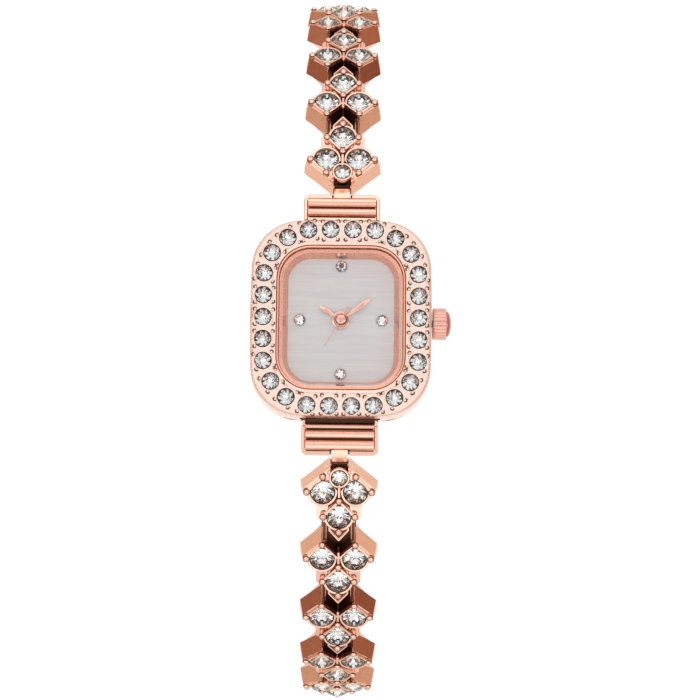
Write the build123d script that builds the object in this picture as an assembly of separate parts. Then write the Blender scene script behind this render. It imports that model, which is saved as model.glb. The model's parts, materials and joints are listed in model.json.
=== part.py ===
from build123d import *
import json
import os
from math import cos, degrees, pi, radians, sin, sqrt

os.makedirs("parts", exist_ok=True)

# Ladies' bracelet watch with a cushion-shaped case, a stone-set bezel and a stone-set link bracelet.
# Millimetres. The origin is the centre of the case back's outer face, +Z points out of the dial,
# +Y to twelve o'clock and +X to the crown. The bracelet is open at its clasp.

# Case outline
case_width = 24.0
case_length = 26.4
case_corner = 6.6
side_bow = 0.4
bezel_side = 3.775
bezel_end = 3.825
aperture_width = case_width - 2 * bezel_side
aperture_length = case_length - 2 * bezel_end
aperture_corner = 4.2

# Case levels, up from the outer face of the case back
back_thickness = 0.9
case_top = 4.2
bezel_top = 6.5
dial_top = 3.9
dial_thickness = 0.4
ring_top = 5.35
crystal_thickness = 0.8

# Case details
wall_side = 3.5
wall_end = 3.4
cavity_width = case_width - 2 * wall_side
cavity_length = case_length - 2 * wall_end
cavity_corner = 4.4
case_edge = 0.5
bezel_edge = 0.55
bezel_lip = 0.25
band_depth = 0.12
band_margin = 0.2
lip_width = 0.5
seat_gap = 0.05
overrun = 1.0
back_margin = 1.3
back_edge = 0.35
snap_height = 0.6
snap_wall = 0.5
gasket_width = 0.35
gasket_height = 0.3

# Dial and the sloped ring round it
ring_foot_side = 1.175
ring_foot_end = 1.075
ring_mouth = 0.525
dial_view_width = aperture_width - 2 * ring_foot_side
dial_view_length = aperture_length - 2 * ring_foot_end
dial_view_corner = 3.2
ring_view_width = aperture_width - 2 * ring_mouth
ring_view_length = aperture_length - 2 * ring_mouth
ring_view_corner = 3.8
dial_margin = 0.1
dial_hole_radius = 0.7
dial_stone_side = 1.59
dial_stone_end = 1.02
dial_stone_x = dial_view_width / 2 - dial_stone_side
dial_stone_y = dial_view_length / 2 - dial_stone_end
crystal_edge = 0.3

# Stones, cut with a flat table over a girdle and a pointed back
stone_sides = 16
table_share = 0.56
crown_share = 0.15
girdle_share = 0.03
back_share = 0.36
culet_share = 0.06
stone_gap = 0.03
bezel_stone_size = 2.2
bezel_stone_count = 26
stone_inset_side = 1.7
stone_inset_end = 1.35
stone_path_width = case_width - 2 * stone_inset_side
stone_path_length = case_length - 2 * stone_inset_end
stone_path_corner = 7.0
dial_stone_size = 1.5
link_stone_size = 3.1
small_stone_size = 2.0

# Hands, as angles clockwise from twelve
hour_angle = 303
minute_angle = 54
second_angle = 211
hour_reach = 3.4
minute_reach = 4.86
second_reach = 4.3
second_tail = 2.0
hand_thickness = 0.1
root_width_share = 0.32
hand_waist_share = 0.5
hour_width = 0.66
minute_width = 0.6
second_width = 0.16
hub_radius = 1.15
minute_hub_radius = 0.95
cap_radius = 0.6
hour_hand_level = 4.28
minute_hand_level = 4.56
second_hand_level = 4.84

# Movement outline and levels
holder_side = 0.85
holder_end = 0.9
movement_width = cavity_width - 2 * holder_side
movement_length = cavity_length - 2 * holder_end
movement_corner = 3.6
bridge_bottom = 1.0
bridge_thickness = 0.25
plate_bottom = 2.3
plate_floor = 3.0
plate_top = 3.45
plate_rim = 0.75
holder_bottom = 1.6
cell_radius = 3.4
cell_height = 1.65
cell_step = 0.35
cell_from_side = 4.45
cell_from_end = 3.7
cell_x = cell_from_side - movement_width / 2
cell_y = cell_from_end - movement_length / 2
cell_gap = 0.15

# Gear train
wheel_thickness = 0.12
pivot_radius = 0.12
running_gap = 0.03
addendum_share = 0.7
dedendum_share = 1.1
tip_half_share = 0.12
root_half_share = 0.29
train_module = 0.08
step_module = 0.09
motion_module = 0.1
rotor_teeth = 6
intermediate_teeth = 60
intermediate_leaves = 16
seconds_teeth = 48
seconds_leaves = 8
third_teeth = 60
third_leaves = 8
centre_teeth = 64
cannon_leaves = 10
minute_teeth = 30
minute_leaves = 8
hour_teeth = 32
intermediate_level = 1.32
seconds_level = 1.5
third_level = 1.72
centre_level = 1.98
cannon_level = 3.06
hour_level = 3.28
third_bearing = 150
intermediate_bearing = 60
rotor_bearing = 90
minute_bearing = 270
centre_tube_radius = 0.28
hour_tube_radius = 0.5
tube_gap = 0.04
rotor_radius = 0.5
rotor_height = 0.48
rotor_gap = 0.25
pillar_radius = 0.35

# Motor and circuit
stator_thickness = 0.4
stator_level = 1.55
stator_left = -3.9
stator_right = 3.7
stator_front = 4.25
stator_depth = 2.0
stator_leg = 0.7
coil_from_end = 1.6
coil_y = movement_length / 2 - coil_from_end
coil_radius = 0.5
coil_bore = 0.36
core_width = 0.5
board_level = 1.3
board_thickness = 0.25
board_width = 5.2
board_length = 5.0
board_from_side = 3.55
board_from_end = 3.3
board_x = movement_width / 2 - board_from_side
board_y = board_from_end - movement_length / 2
chip_size = 1.6
chip_height = 0.35

# Crown and stem, on a line through three o'clock
crown_level = 2.3
crown_radius = 2.1
crown_length = 1.85
crown_cap_radius = 1.75
crown_cap_height = 0.65
crown_cap_edge = 0.5
crown_gap = 0.15
crown_flutes = 24
flute_depth = 0.14
flute_share = 0.22
stem_radius = 0.45
stem_gap = 0.1
stem_start = 4.6
stem_neck = 5.2
neck_length = 0.3
neck_radius = 0.28
lever_thickness = 0.24
lever_width = 1.8
lever_height = 1.2
lever_share = 0.7
channel_half = 1.05

# Spring bars and the solid end links
bar_inset = 0.45
bar_reach = case_length / 2 - bar_inset
bar_level = 2.3
bar_radius = 0.5
bar_tip_radius = 0.3
bar_tip = 1.5
notch_width = 10.6
notch_inset = 1.9
notch_depth = case_length / 2 - notch_inset
end_width = 10.2
end_reach = 4.13
end_tail = 0.65
end_floor = 0.9
ridge_radius = 0.85
ridge_rise = 0.45
ridge_start = 1.95
ridge_pitch = 1.5
lip_rise = 0.25
knuckle_radius = 1.05
end_corner = 1.4
end_tilt = 11

# Straps that join the end links to the bracelet
strap_pitch = 2.3
strap_width = 2.2
strap_radius = 0.7
strap_slot = 2.5
slot_roof = 0.85

# Bracelet links, in each link's own frame: across, along the bracelet, and out through the stones
link_half_width = 5.05
row_half = 2.19
centre_step = 3.45
setting_half = 2.25
rim_width = 0.42
cup_depth = 1.7
plate_drop = 0.45
wall_depth = 3.2
wall_drop = 0.15
wall_thickness = 0.55
wall_breadth = 0.75
wing_tip = 2.35
wing_reach = 3.85
wing_side = 1.4
wing_draft = 1.2
wing_end = 0.1
notch_point = 0.2
link_pitch = 9.5
hinge_front = 3.3
hinge_back = link_pitch - hinge_front
hinge_drop = 1.9
hinge_radius = 0.9
arm_inner = 2.35
arm_outer = 3.0
arm_root = 1.6
tail_half = 2.15
pin_radius = 0.3
pin_press_gap = 0.01
pin_running_gap = 0.05
prong_radius = 0.45
prong_step = 2.12
prong_rise = 0.1

# The first link of each side, which takes the strap and has one more small stone
apex_half = 1.2
apex_reach = 3.9
apex_side = 0.9
apex_draft = 0.7
strap_pin_back = 3.2
cheek_width = 0.65
cheek_root = 2.0
cheek_drop = 0.9
roof_drop = 1.05
roof_end = 3.1
under_end = 2.3
small_stone_back = 1.96
small_cup_radius = 1.22
small_cup_depth = 0.95
small_prong_radius = 0.22
small_prong_place = (small_stone_size / 2 + small_prong_radius) / sqrt(2)

# Clasp
clasp_base_length = 19.2
clasp_half = 3.0
clasp_thickness = 0.6
clasp_start = 3.6
clasp_knuckle_radius = 0.7
clasp_knuckle_half = 1.4
clasp_knuckle_rise = 0.35
clasp_pin_radius = 0.25
clasp_gap = 0.1
cover_start = 4.6
cover_rise = 0.75
cover_thickness = 0.5
cover_skirt = 0.4
cover_skirt_drop = 0.95
hook_width = 2.0
hook_length = 1.6
hook_height = 0.5
hook_at = 7.0
ladder_length = 16.0
ladder_bars = 5
ladder_bar_radius = 0.4
ladder_bar_start = 4.4

# Bracelet curve at rest: downward tilt of each link, in degrees from the case
upper_strap_tilt = 19.5
lower_strap_tilt = 32.0
upper_tilts = [17.6, 27.5, 38.5, 52.1, 70.0, 88.0]
lower_tilts = [26.4, 35.9, 48.5, 64.6, 82.0, 100.0]
ladder_tilt = 102.0
clasp_tilt = 114.0

# Hinge stops, in degrees from straight: inward closes the bracelet round the wrist
link_stop_in = 26
link_stop_out = 8
end_stop_in = 22
end_stop_out = -2
strap_stop_in = 32
strap_stop_out = 4
cover_opening = 110
crown_travel = 1.0


def polar(radius, angle):
    """Point at a radius and an angle counter-clockwise from +X."""
    return (radius * cos(radians(angle)), radius * sin(radians(angle)))


def cushion(width, length, corner, bow):
    """Rectangle with rounded corners and sides that bow outwards."""
    x = width / 2 - bow
    y = length / 2 - bow
    sides = [
        ThreePointArc((x, -y), (x + bow, 0), (x, y)),
        ThreePointArc((x, y), (0, y + bow), (-x, y)),
        ThreePointArc((-x, y), (-x - bow, 0), (-x, -y)),
        ThreePointArc((-x, -y), (0, -y - bow), (x, -y)),
    ]
    face = make_face(sides)
    return fillet(face.vertices(), corner)


def slab(sketch, bottom, top):
    """A sketch of the XY plane, extruded from one level to another."""
    return Pos(0, 0, bottom) * extrude(sketch, top - bottom, dir=(0, 0, 1))


def block(x0, x1, y0, y1, z0, z1):
    """Box between two corners."""
    return Pos((x0 + x1) / 2, (y0 + y1) / 2, (z0 + z1) / 2) * Box(x1 - x0, y1 - y0, z1 - z0)


def rod(radius, x0, x1, y, z):
    """Cylinder along X between two places."""
    return Pos((x0 + x1) / 2, y, z) * Rot(0, 90, 0) * Cylinder(radius, x1 - x0)


def post(radius, x, y, bottom, top):
    """Upright cylinder between two levels."""
    return Pos(x, y, (bottom + top) / 2) * Cylinder(radius, top - bottom)


def both_sides(shape):
    """A shape and its mirror image across the YZ plane."""
    return [shape, mirror(shape, about=Plane.YZ)]


def save(name, *shapes):
    """Write the solids of one sub-part."""
    solids = [solid for shape in shapes for solid in shape.solids()]
    if len(solids) == 1:
        export_step(solids[0], f"parts/{name}.step")
    else:
        export_step(Compound(children=solids), f"parts/{name}.step")


def stone(size):
    """Faceted stone with its girdle on the XY plane."""
    radius = size / 2
    girdle = size * girdle_share
    outline = RegularPolygon(radius, stone_sides)
    table = Pos(0, 0, girdle + size * crown_share) * RegularPolygon(radius * table_share, stone_sides)
    culet = Pos(0, 0, -size * back_share) * RegularPolygon(radius * culet_share, stone_sides)
    crown = loft([Pos(0, 0, girdle) * outline, table], ruled=True)
    back = loft([culet, outline], ruled=True)
    return back + extrude(outline, girdle) + crown


def stone_seat(size):
    """Conical hole that takes a stone, open above its girdle."""
    radius = size / 2 + stone_gap
    depth = size * back_share + stone_gap
    foot = radius * culet_share + stone_gap
    cone = Pos(0, 0, -depth / 2) * Cone(foot, radius, depth)
    return cone + post(radius, 0, 0, 0, overrun)


def stone_path():
    """Places of the bezel stones, evenly spaced from three o'clock round a rounded rectangle."""
    x = stone_path_width / 2
    y = stone_path_length / 2
    r = stone_path_corner
    quarter = r * pi / 2
    runs = [y - r, quarter, 2 * (x - r), quarter, 2 * (y - r), quarter, 2 * (x - r), quarter, y - r]
    total = sum(runs)
    places = []
    for n in range(bezel_stone_count):
        left = total * n / bezel_stone_count
        step = 0
        while left > runs[step]:
            left -= runs[step]
            step += 1
        turn = degrees(left / r)
        corner_x, corner_y = x - r, y - r
        if step == 0:
            places.append((x, left))
        elif step == 1:
            places.append((corner_x + polar(r, turn)[0], corner_y + polar(r, turn)[1]))
        elif step == 2:
            places.append((corner_x - left, y))
        elif step == 3:
            places.append((-corner_x + polar(r, 90 + turn)[0], corner_y + polar(r, 90 + turn)[1]))
        elif step == 4:
            places.append((-x, corner_y - left))
        elif step == 5:
            places.append((-corner_x + polar(r, 180 + turn)[0], -corner_y + polar(r, 180 + turn)[1]))
        elif step == 6:
            places.append((-corner_x + left, -y))
        elif step == 7:
            places.append((corner_x + polar(r, 270 + turn)[0], -corner_y + polar(r, 270 + turn)[1]))
        else:
            places.append((x, -corner_y + left))
    return places


def dial_stone_places():
    return [(dial_stone_x, 0), (0, dial_stone_y), (-dial_stone_x, 0), (0, -dial_stone_y)]


# Case

case_outline = cushion(case_width, case_length, case_corner, side_bow)
cavity_outline = RectangleRounded(cavity_width, cavity_length, cavity_corner)
aperture_outline = RectangleRounded(aperture_width, aperture_length, aperture_corner)
band_level = bezel_top - band_depth
case_half_width = case_width / 2
case_half_length = case_length / 2


def make_case_body():
    body = slab(case_outline, back_thickness, case_top)
    body = chamfer(body.faces().sort_by(Axis.Z)[0].edges(), case_edge)
    body -= slab(cavity_outline, 0, bezel_top)
    gasket_space = RectangleRounded(
        cavity_width + 2 * (gasket_width + seat_gap),
        cavity_length + 2 * (gasket_width + seat_gap),
        cavity_corner + gasket_width,
    )
    body -= slab(gasket_space, 0, back_thickness + gasket_height + seat_gap)
    for side in (1, -1):
        near = side * notch_depth
        far = side * (case_half_length + overrun)
        body -= block(-notch_width / 2, notch_width / 2, min(near, far), max(near, far), 0, bezel_top)
        reach = case_half_width
        body -= rod(bar_tip_radius + seat_gap, -reach, reach, side * bar_reach, bar_level)
    body -= rod(stem_radius + stem_gap, 0, case_half_width + overrun, 0, crown_level)
    return body


def aperture_edges(body):
    """Edges round the opening in the top face."""
    top = body.faces().filter_by(GeomType.PLANE).sort_by(Axis.Z)[-1]
    return top.inner_wires()[0].edges()


def make_bezel():
    body = slab(case_outline, case_top, bezel_top)
    body = fillet(body.faces().sort_by(Axis.Z)[-1].edges(), bezel_edge)
    body -= slab(aperture_outline, 0, bezel_top + overrun)
    body = chamfer(aperture_edges(body), bezel_lip)
    band = cushion(
        case_width - 2 * (bezel_edge + band_margin),
        case_length - 2 * (bezel_edge + band_margin),
        case_corner - bezel_edge,
        side_bow,
    )
    lip = RectangleRounded(
        aperture_width + 2 * (bezel_lip + lip_width),
        aperture_length + 2 * (bezel_lip + lip_width),
        aperture_corner + bezel_lip + lip_width,
    )
    body -= slab(band - lip, band_level, bezel_top + overrun)
    seat = stone_seat(bezel_stone_size)
    for x, y in stone_path():
        body -= Pos(x, y, band_level) * seat
    return body


def make_case_stones():
    solids = []
    shape = stone(bezel_stone_size)
    for x, y in stone_path():
        solids.append(Pos(x, y, band_level) * shape)
    shape = stone(dial_stone_size)
    sunk = dial_stone_size * back_share + stone_gap
    level = dial_top - dial_thickness + sunk + stone_gap
    for x, y in dial_stone_places():
        solids.append(Pos(x, y, level) * shape)
    return solids


def make_crystal():
    width = aperture_width - 2 * dial_margin
    length = aperture_length - 2 * dial_margin
    outline = RectangleRounded(width, length, aperture_corner - dial_margin)
    bottom = ring_top + seat_gap
    body = slab(outline, bottom, bottom + crystal_thickness)
    return chamfer(body.faces().sort_by(Axis.Z)[-1].edges(), crystal_edge)


def make_inner_ring():
    width = aperture_width - 2 * seat_gap
    length = aperture_length - 2 * seat_gap
    bottom = dial_top + seat_gap
    body = slab(RectangleRounded(width, length, aperture_corner - seat_gap), bottom, ring_top)
    foot = RectangleRounded(dial_view_width, dial_view_length, dial_view_corner)
    mouth = RectangleRounded(ring_view_width, ring_view_length, ring_view_corner)
    return body - loft([Pos(0, 0, bottom) * foot, Pos(0, 0, ring_top) * mouth], ruled=True)


def make_dial():
    width = cavity_width - 2 * dial_margin
    length = cavity_length - 2 * dial_margin
    bottom = dial_top - dial_thickness
    body = slab(RectangleRounded(width, length, cavity_corner - dial_margin), bottom, dial_top)
    body -= post(dial_hole_radius, 0, 0, 0, bezel_top)
    sunk = dial_stone_size * back_share + stone_gap
    seat = stone_seat(dial_stone_size)
    for x, y in dial_stone_places():
        body -= Pos(x, y, bottom + sunk + stone_gap) * seat
    return body


def cavity_filler():
    """Outline that fits the case cavity with a small gap."""
    width = cavity_width - 2 * seat_gap
    length = cavity_length - 2 * seat_gap
    return RectangleRounded(width, length, cavity_corner - seat_gap)


def make_case_back():
    width = case_width - 2 * back_margin
    length = 2 * notch_depth - 2 * back_edge
    body = slab(cushion(width, length, case_corner - back_margin, side_bow), 0, back_thickness)
    body = chamfer(body.faces().sort_by(Axis.Z)[0].edges(), back_edge)
    inner = RectangleRounded(
        cavity_width - 2 * snap_wall, cavity_length - 2 * snap_wall, cavity_corner - snap_wall
    )
    return body + slab(cavity_filler() - inner, back_thickness, back_thickness + snap_height)


def make_gasket():
    outer = RectangleRounded(
        cavity_width + 2 * gasket_width, cavity_length + 2 * gasket_width, cavity_corner + gasket_width
    )
    return slab(outer - cavity_outline, back_thickness, back_thickness + gasket_height)


# Hands

def pointed_hand(reach, width, waist_share):
    """Flat hand along +Y, widest at its waist."""
    root = width * root_width_share
    waist = reach * waist_share
    outline = Polygon(
        (-root, 0), (root, 0), (width / 2, waist), (0, reach), (-width / 2, waist), align=None
    )
    return extrude(outline, hand_thickness)


def make_hour_hand():
    body = pointed_hand(hour_reach, hour_width, hand_waist_share)
    body += Pos(0, 0, hand_thickness / 2) * Cylinder(hub_radius, hand_thickness)
    body -= Cylinder(hour_tube_radius, bezel_top)
    return Pos(0, 0, hour_hand_level) * Rot(0, 0, -hour_angle) * body


def make_minute_hand():
    body = pointed_hand(minute_reach, minute_width, hand_waist_share)
    body += Pos(0, 0, hand_thickness / 2) * Cylinder(minute_hub_radius, hand_thickness)
    body -= Cylinder(centre_tube_radius, bezel_top)
    return Pos(0, 0, minute_hand_level) * Rot(0, 0, -minute_angle) * body


def make_second_hand():
    half = second_width / 2
    body = block(-half, half, -second_tail, second_reach, 0, hand_thickness)
    body += Pos(0, 0, hand_thickness) * Cylinder(cap_radius, 2 * hand_thickness)
    body -= Cylinder(pivot_radius, 2 * hand_thickness)
    return Pos(0, 0, second_hand_level) * Rot(0, 0, -second_angle) * body


# Gear train

third_distance = train_module * (seconds_leaves + third_teeth) / 2
centre_module = 2 * third_distance / (third_leaves + centre_teeth)
intermediate_distance = step_module * (intermediate_leaves + seconds_teeth) / 2
rotor_distance = train_module * (rotor_teeth + intermediate_teeth) / 2
minute_distance = motion_module * (cannon_leaves + minute_teeth) / 2
hour_module = 2 * minute_distance / (minute_leaves + hour_teeth)
third_at = polar(third_distance, third_bearing)
intermediate_at = polar(intermediate_distance, intermediate_bearing)
rotor_step = polar(rotor_distance, rotor_bearing)
rotor_at = (intermediate_at[0] + rotor_step[0], intermediate_at[1] + rotor_step[1])
minute_at = polar(minute_distance, minute_bearing)


def gear(teeth, module, thickness, facing, gap):
    """Toothed wheel on the XY plane with a tooth, or a gap, at the angle that it faces."""
    tip = module * (teeth + 2 * addendum_share) / 2
    root = module * (teeth - 2 * dedendum_share) / 2
    pitch_angle = 360 / teeth
    start = facing + (pitch_angle / 2 if gap else 0)
    points = []
    for n in range(teeth):
        middle = start + n * pitch_angle
        points.append(polar(root, middle - root_half_share * pitch_angle))
        points.append(polar(tip, middle - tip_half_share * pitch_angle))
        points.append(polar(tip, middle + tip_half_share * pitch_angle))
        points.append(polar(root, middle + root_half_share * pitch_angle))
    return extrude(Polygon(*points, align=None), thickness)


def make_seconds_wheel():
    wheel = Pos(0, 0, seconds_level) * gear(
        seconds_teeth, step_module, wheel_thickness, intermediate_bearing, True
    )
    leaves = Pos(0, 0, seconds_level) * gear(
        seconds_leaves, train_module, centre_level - seconds_level - tube_gap, third_bearing, False
    )
    top = second_hand_level + 2 * hand_thickness
    return wheel + leaves + post(pivot_radius, 0, 0, bridge_bottom, top)


def make_third_wheel():
    wheel = gear(third_teeth, train_module, wheel_thickness, third_bearing + 180, True)
    leaves = gear(
        third_leaves,
        centre_module,
        centre_level + wheel_thickness + tube_gap - third_level,
        third_bearing + 180,
        False,
    )
    body = Pos(*third_at, third_level) * (wheel + leaves)
    return body + post(pivot_radius, *third_at, bridge_bottom, plate_floor - bridge_thickness)


def make_centre_wheel():
    body = Pos(0, 0, centre_level) * gear(centre_teeth, centre_module, wheel_thickness, third_bearing, True)
    cannon_height = hour_level - cannon_level - tube_gap
    body += Pos(0, 0, cannon_level) * gear(
        cannon_leaves, motion_module, cannon_height, minute_bearing, False
    )
    top = minute_hand_level + hand_thickness
    body += post(centre_tube_radius, 0, 0, centre_level, top)
    return body - post(pivot_radius + running_gap, 0, 0, 0, bezel_top)


def make_intermediate_wheel():
    wheel = gear(intermediate_teeth, train_module, wheel_thickness, rotor_bearing, True)
    leaves = gear(
        intermediate_leaves,
        step_module,
        seconds_level + wheel_thickness + tube_gap - intermediate_level,
        intermediate_bearing + 180,
        False,
    )
    body = Pos(*intermediate_at, intermediate_level) * (wheel + leaves)
    return body + post(pivot_radius, *intermediate_at, bridge_bottom, plate_floor - bridge_thickness)


def make_rotor():
    leaves = gear(rotor_teeth, train_module, seconds_level - intermediate_level, rotor_bearing + 180, False)
    body = Pos(*rotor_at, intermediate_level) * leaves
    body += post(rotor_radius, *rotor_at, seconds_level, seconds_level + rotor_height)
    return body + post(pivot_radius, *rotor_at, bridge_bottom, plate_floor - bridge_thickness)


def make_minute_wheel():
    wheel = gear(minute_teeth, motion_module, wheel_thickness, minute_bearing + 180, True)
    height = hour_level + wheel_thickness + tube_gap - cannon_level
    leaves = gear(minute_leaves, hour_module, height, minute_bearing + 180, False)
    body = Pos(*minute_at, cannon_level) * (wheel + leaves)
    return body - post(pivot_radius + running_gap, *minute_at, 0, bezel_top)


def make_hour_wheel():
    body = Pos(0, 0, hour_level) * gear(hour_teeth, hour_module, wheel_thickness, minute_bearing, True)
    body += post(hour_tube_radius, 0, 0, hour_level, hour_hand_level + hand_thickness)
    return body - post(centre_tube_radius + tube_gap, 0, 0, 0, bezel_top)


# Movement

train_arbors = [third_at, intermediate_at, rotor_at]
bridge_left = -5.3
bridge_right = 4.7
bridge_front = -2.1
bridge_back = 6.2
pillar_places = [
    (bridge_left + pillar_radius, stator_front + pillar_radius),
    (bridge_left + 2 * pillar_radius, bridge_front + 4 * pillar_radius),
    (bridge_right - 2 * pillar_radius, bridge_front + pillar_radius),
    (bridge_right - pillar_radius, stator_front + pillar_radius),
]


def make_main_plate():
    outline = RectangleRounded(movement_width, movement_length, movement_corner)
    pocket = RectangleRounded(
        movement_width - 2 * plate_rim, movement_length - 2 * plate_rim, movement_corner - plate_rim
    )
    body = slab(outline, plate_bottom, plate_top) - slab(pocket, plate_floor, bezel_top)
    cell_top = bridge_bottom + seat_gap + cell_height
    body -= post(cell_radius + cell_gap, cell_x, cell_y, 0, cell_top + seat_gap)
    body -= post(centre_tube_radius + tube_gap, 0, 0, 0, bezel_top)
    for place in train_arbors:
        body -= post(pivot_radius + running_gap, *place, 0, plate_floor - bridge_thickness)
    roof = crown_level + stem_radius + stem_gap
    body -= block(stem_start - stem_gap, case_half_width, -channel_half, channel_half, 0, roof)
    body += post(pivot_radius, *minute_at, plate_floor, plate_top)
    for place in pillar_places:
        body += post(pillar_radius, *place, bridge_bottom + bridge_thickness, plate_bottom)
    return body


def make_train_bridge():
    top = bridge_bottom + bridge_thickness
    body = block(bridge_left, bridge_right, bridge_front, bridge_back, bridge_bottom, top)
    body -= post(cell_radius + cell_gap, cell_x, cell_y, 0, bezel_top)
    for place in train_arbors + [(0, 0)]:
        body -= post(pivot_radius + running_gap, *place, 0, bezel_top)
    return body


def make_movement_holder():
    inner = RectangleRounded(
        movement_width + 2 * seat_gap, movement_length + 2 * seat_gap, movement_corner + seat_gap
    )
    body = slab(cavity_filler() - inner, holder_bottom, plate_top)
    return body - rod(stem_radius + stem_gap, 0, case_half_width, 0, crown_level)


def make_button_cell():
    bottom = bridge_bottom + seat_gap
    body = post(cell_radius, cell_x, cell_y, bottom + cell_step, bottom + cell_height)
    return body + post(cell_radius - cell_step, cell_x, cell_y, bottom, bottom + cell_step)


def make_stator():
    top = stator_level + stator_thickness
    back = stator_front + stator_depth
    body = block(stator_left, stator_right, stator_front, back, stator_level, top)
    core_back = coil_y + core_width / 2
    body += block(stator_left, stator_left + stator_leg, back, core_back, stator_level, top)
    body += block(stator_right - stator_leg, stator_right, back, core_back, stator_level, top)
    body += block(stator_left, stator_right, coil_y - core_width / 2, core_back, stator_level, top)
    return body - post(rotor_radius + rotor_gap, *rotor_at, 0, bezel_top)


def make_coil():
    level = stator_level + stator_thickness / 2
    start = stator_left + stator_leg + seat_gap
    end = stator_right - stator_leg - seat_gap
    return rod(coil_radius, start, end, coil_y, level) - rod(coil_bore, start, end, coil_y, level)


def make_circuit_board():
    top = board_level + board_thickness
    x0, x1 = board_x - board_width / 2, board_x + board_width / 2
    y0, y1 = board_y - board_length / 2, board_y + board_length / 2
    body = block(x0, x1, y0, y1, board_level, top)
    chip = block(0, chip_size, 0, chip_size, top, top + chip_height)
    can_y = y1 - 2 * chip_height
    crystal_can = rod(chip_height, x0 + chip_height, x1 - chip_height, can_y, top + chip_height)
    return [body, Pos(board_x, y0 + chip_size / 2, 0) * chip, crystal_can]


# Crown, stem and setting lever

crown_start = case_half_width + crown_gap


def make_crown():
    outline = []
    step = 360 / crown_flutes
    for n in range(crown_flutes):
        outline.append(polar(crown_radius - flute_depth, n * step))
        outline.append(polar(crown_radius, (n + flute_share) * step))
        outline.append(polar(crown_radius, (n + 1 - flute_share) * step))
    barrel = extrude(Polygon(*outline, align=None), crown_length)
    cap = Pos(0, 0, crown_cap_height / 2) * Cylinder(crown_cap_radius, crown_cap_height)
    cap = fillet(cap.faces().sort_by(Axis.Z)[-1].edges(), crown_cap_edge)
    body = barrel + Pos(0, 0, crown_length) * cap
    body -= Cylinder(stem_radius + pin_press_gap, 2 * (crown_length - seat_gap))
    return Pos(crown_start, 0, crown_level) * Rot(0, 90, 0) * body


def make_stem():
    end = crown_start + crown_length - 2 * seat_gap
    body = rod(stem_radius, stem_start, end, 0, crown_level)
    neck = rod(stem_radius + overrun, stem_neck, stem_neck + neck_length, 0, crown_level)
    neck -= rod(neck_radius, stem_neck, stem_neck + neck_length, 0, crown_level)
    return body - neck


def make_setting_lever():
    start = stem_neck + (neck_length - lever_thickness) / 2
    end = start + lever_thickness
    bottom = crown_level - lever_height * lever_share
    half = lever_width / 2
    body = block(start, end, -half, half, bottom, bottom + lever_height)
    fork = neck_radius + running_gap
    body -= rod(fork, start, end, 0, crown_level)
    return body - block(start, end, -fork, fork, crown_level, bezel_top)


# Spring bars, end links and straps

def make_spring_bars():
    half = end_width / 2
    solids = []
    for side in (1, -1):
        bar = rod(bar_radius, -half, half, side * bar_reach, bar_level)
        tip = half + bar_tip
        solids.append(bar + rod(bar_tip_radius, -tip, tip, side * bar_reach, bar_level))
    return solids


def make_end_link():
    """End link in its own frame: the spring bar at the origin, the strap pin along +Y."""
    half = end_width / 2
    outer = end_reach + end_tail
    low = -end_floor
    body = block(-half, half, 0, outer, low, lip_rise)
    body += rod(knuckle_radius, -half, half, 0, 0)
    for step in (ridge_start, ridge_start + ridge_pitch):
        body += rod(ridge_radius, -half, half, step, ridge_rise)
    corners = body.edges().filter_by(Axis.Z).group_by(Axis.Y)[-1]
    body = fillet(corners, end_corner / 2)
    body -= rod(bar_radius + pin_running_gap, -end_width, end_width, 0, 0)
    body -= rod(pin_radius + pin_press_gap, -end_width, end_width, end_reach, 0)
    slot = strap_slot / 2
    inner = end_reach - strap_radius - clasp_gap
    body -= block(-slot, slot, inner, outer + overrun, -end_width, slot_roof)
    pin = rod(pin_radius, -half + end_corner, half - end_corner, end_reach, 0)
    return [body, pin]


def make_strap():
    """Strap in its own frame: one pin at the origin, the other along +Y."""
    half = strap_width / 2
    body = block(-half, half, 0, strap_pitch, -strap_radius, strap_radius)
    for step in (0, strap_pitch):
        body += rod(strap_radius, -half, half, step, 0)
    for step in (0, strap_pitch):
        body -= rod(pin_radius + pin_running_gap, -strap_width, strap_width, step, 0)
    return [body]


# Bracelet links

def diamond(half, x, y):
    """Square standing on its corner."""
    return Polygon((x + half, y), (x, y + half), (x - half, y), (x, y - half), align=None)


def stone_places():
    return [(-row_half, 0), (row_half, 0), (0, centre_step)]


def wing_outline(tip, reach, side):
    """Wall from the outer prong round the link's corner to the wing's tip."""
    inner = link_half_width - wall_thickness
    return Polygon(
        (link_half_width, wing_end),
        (link_half_width, -side),
        (tip, -reach),
        (tip, -reach + wall_breadth),
        (inner, -side + wall_breadth),
        (inner, wing_end),
        align=None,
    )


def wing_wall(tip, reach, side, draft):
    """Wing wall that leans outwards from the settings to its foot."""
    foot = Pos(0, 0, -wall_depth) * wing_outline(tip, reach, side)
    top = Pos(0, 0, -wall_drop) * wing_outline(tip, reach - draft, side - draft)
    return loft([foot, top], ruled=True)


def tail_plate(front):
    """Outline of the plate under the settings, from the given points of its case side."""
    right = front + [
        (row_half, setting_half),
        (tail_half, centre_step),
        (0, centre_step + setting_half),
    ]
    left = [(-x, y) for x, y in reversed(right) if x > 0]
    return Polygon(*(right + left), align=None)


def settings(front):
    """The plate, the three cups and the walls that every link shares."""
    body = slab(tail_plate(front), -cup_depth, -plate_drop)
    rim = link_stone_size / 2 + rim_width
    for x, y in stone_places():
        body += slab(diamond(setting_half, x, y), -cup_depth, 0)
        body += post(rim, x, y, -cup_depth, -wall_drop)
    tail = rod(hinge_radius, -tail_half, tail_half, hinge_front, -hinge_drop)
    near = hinge_front - hinge_radius
    far = hinge_front + hinge_radius
    fill = block(-tail_half, tail_half, near, far, -hinge_drop, -plate_drop)
    return body + tail + fill


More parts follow.
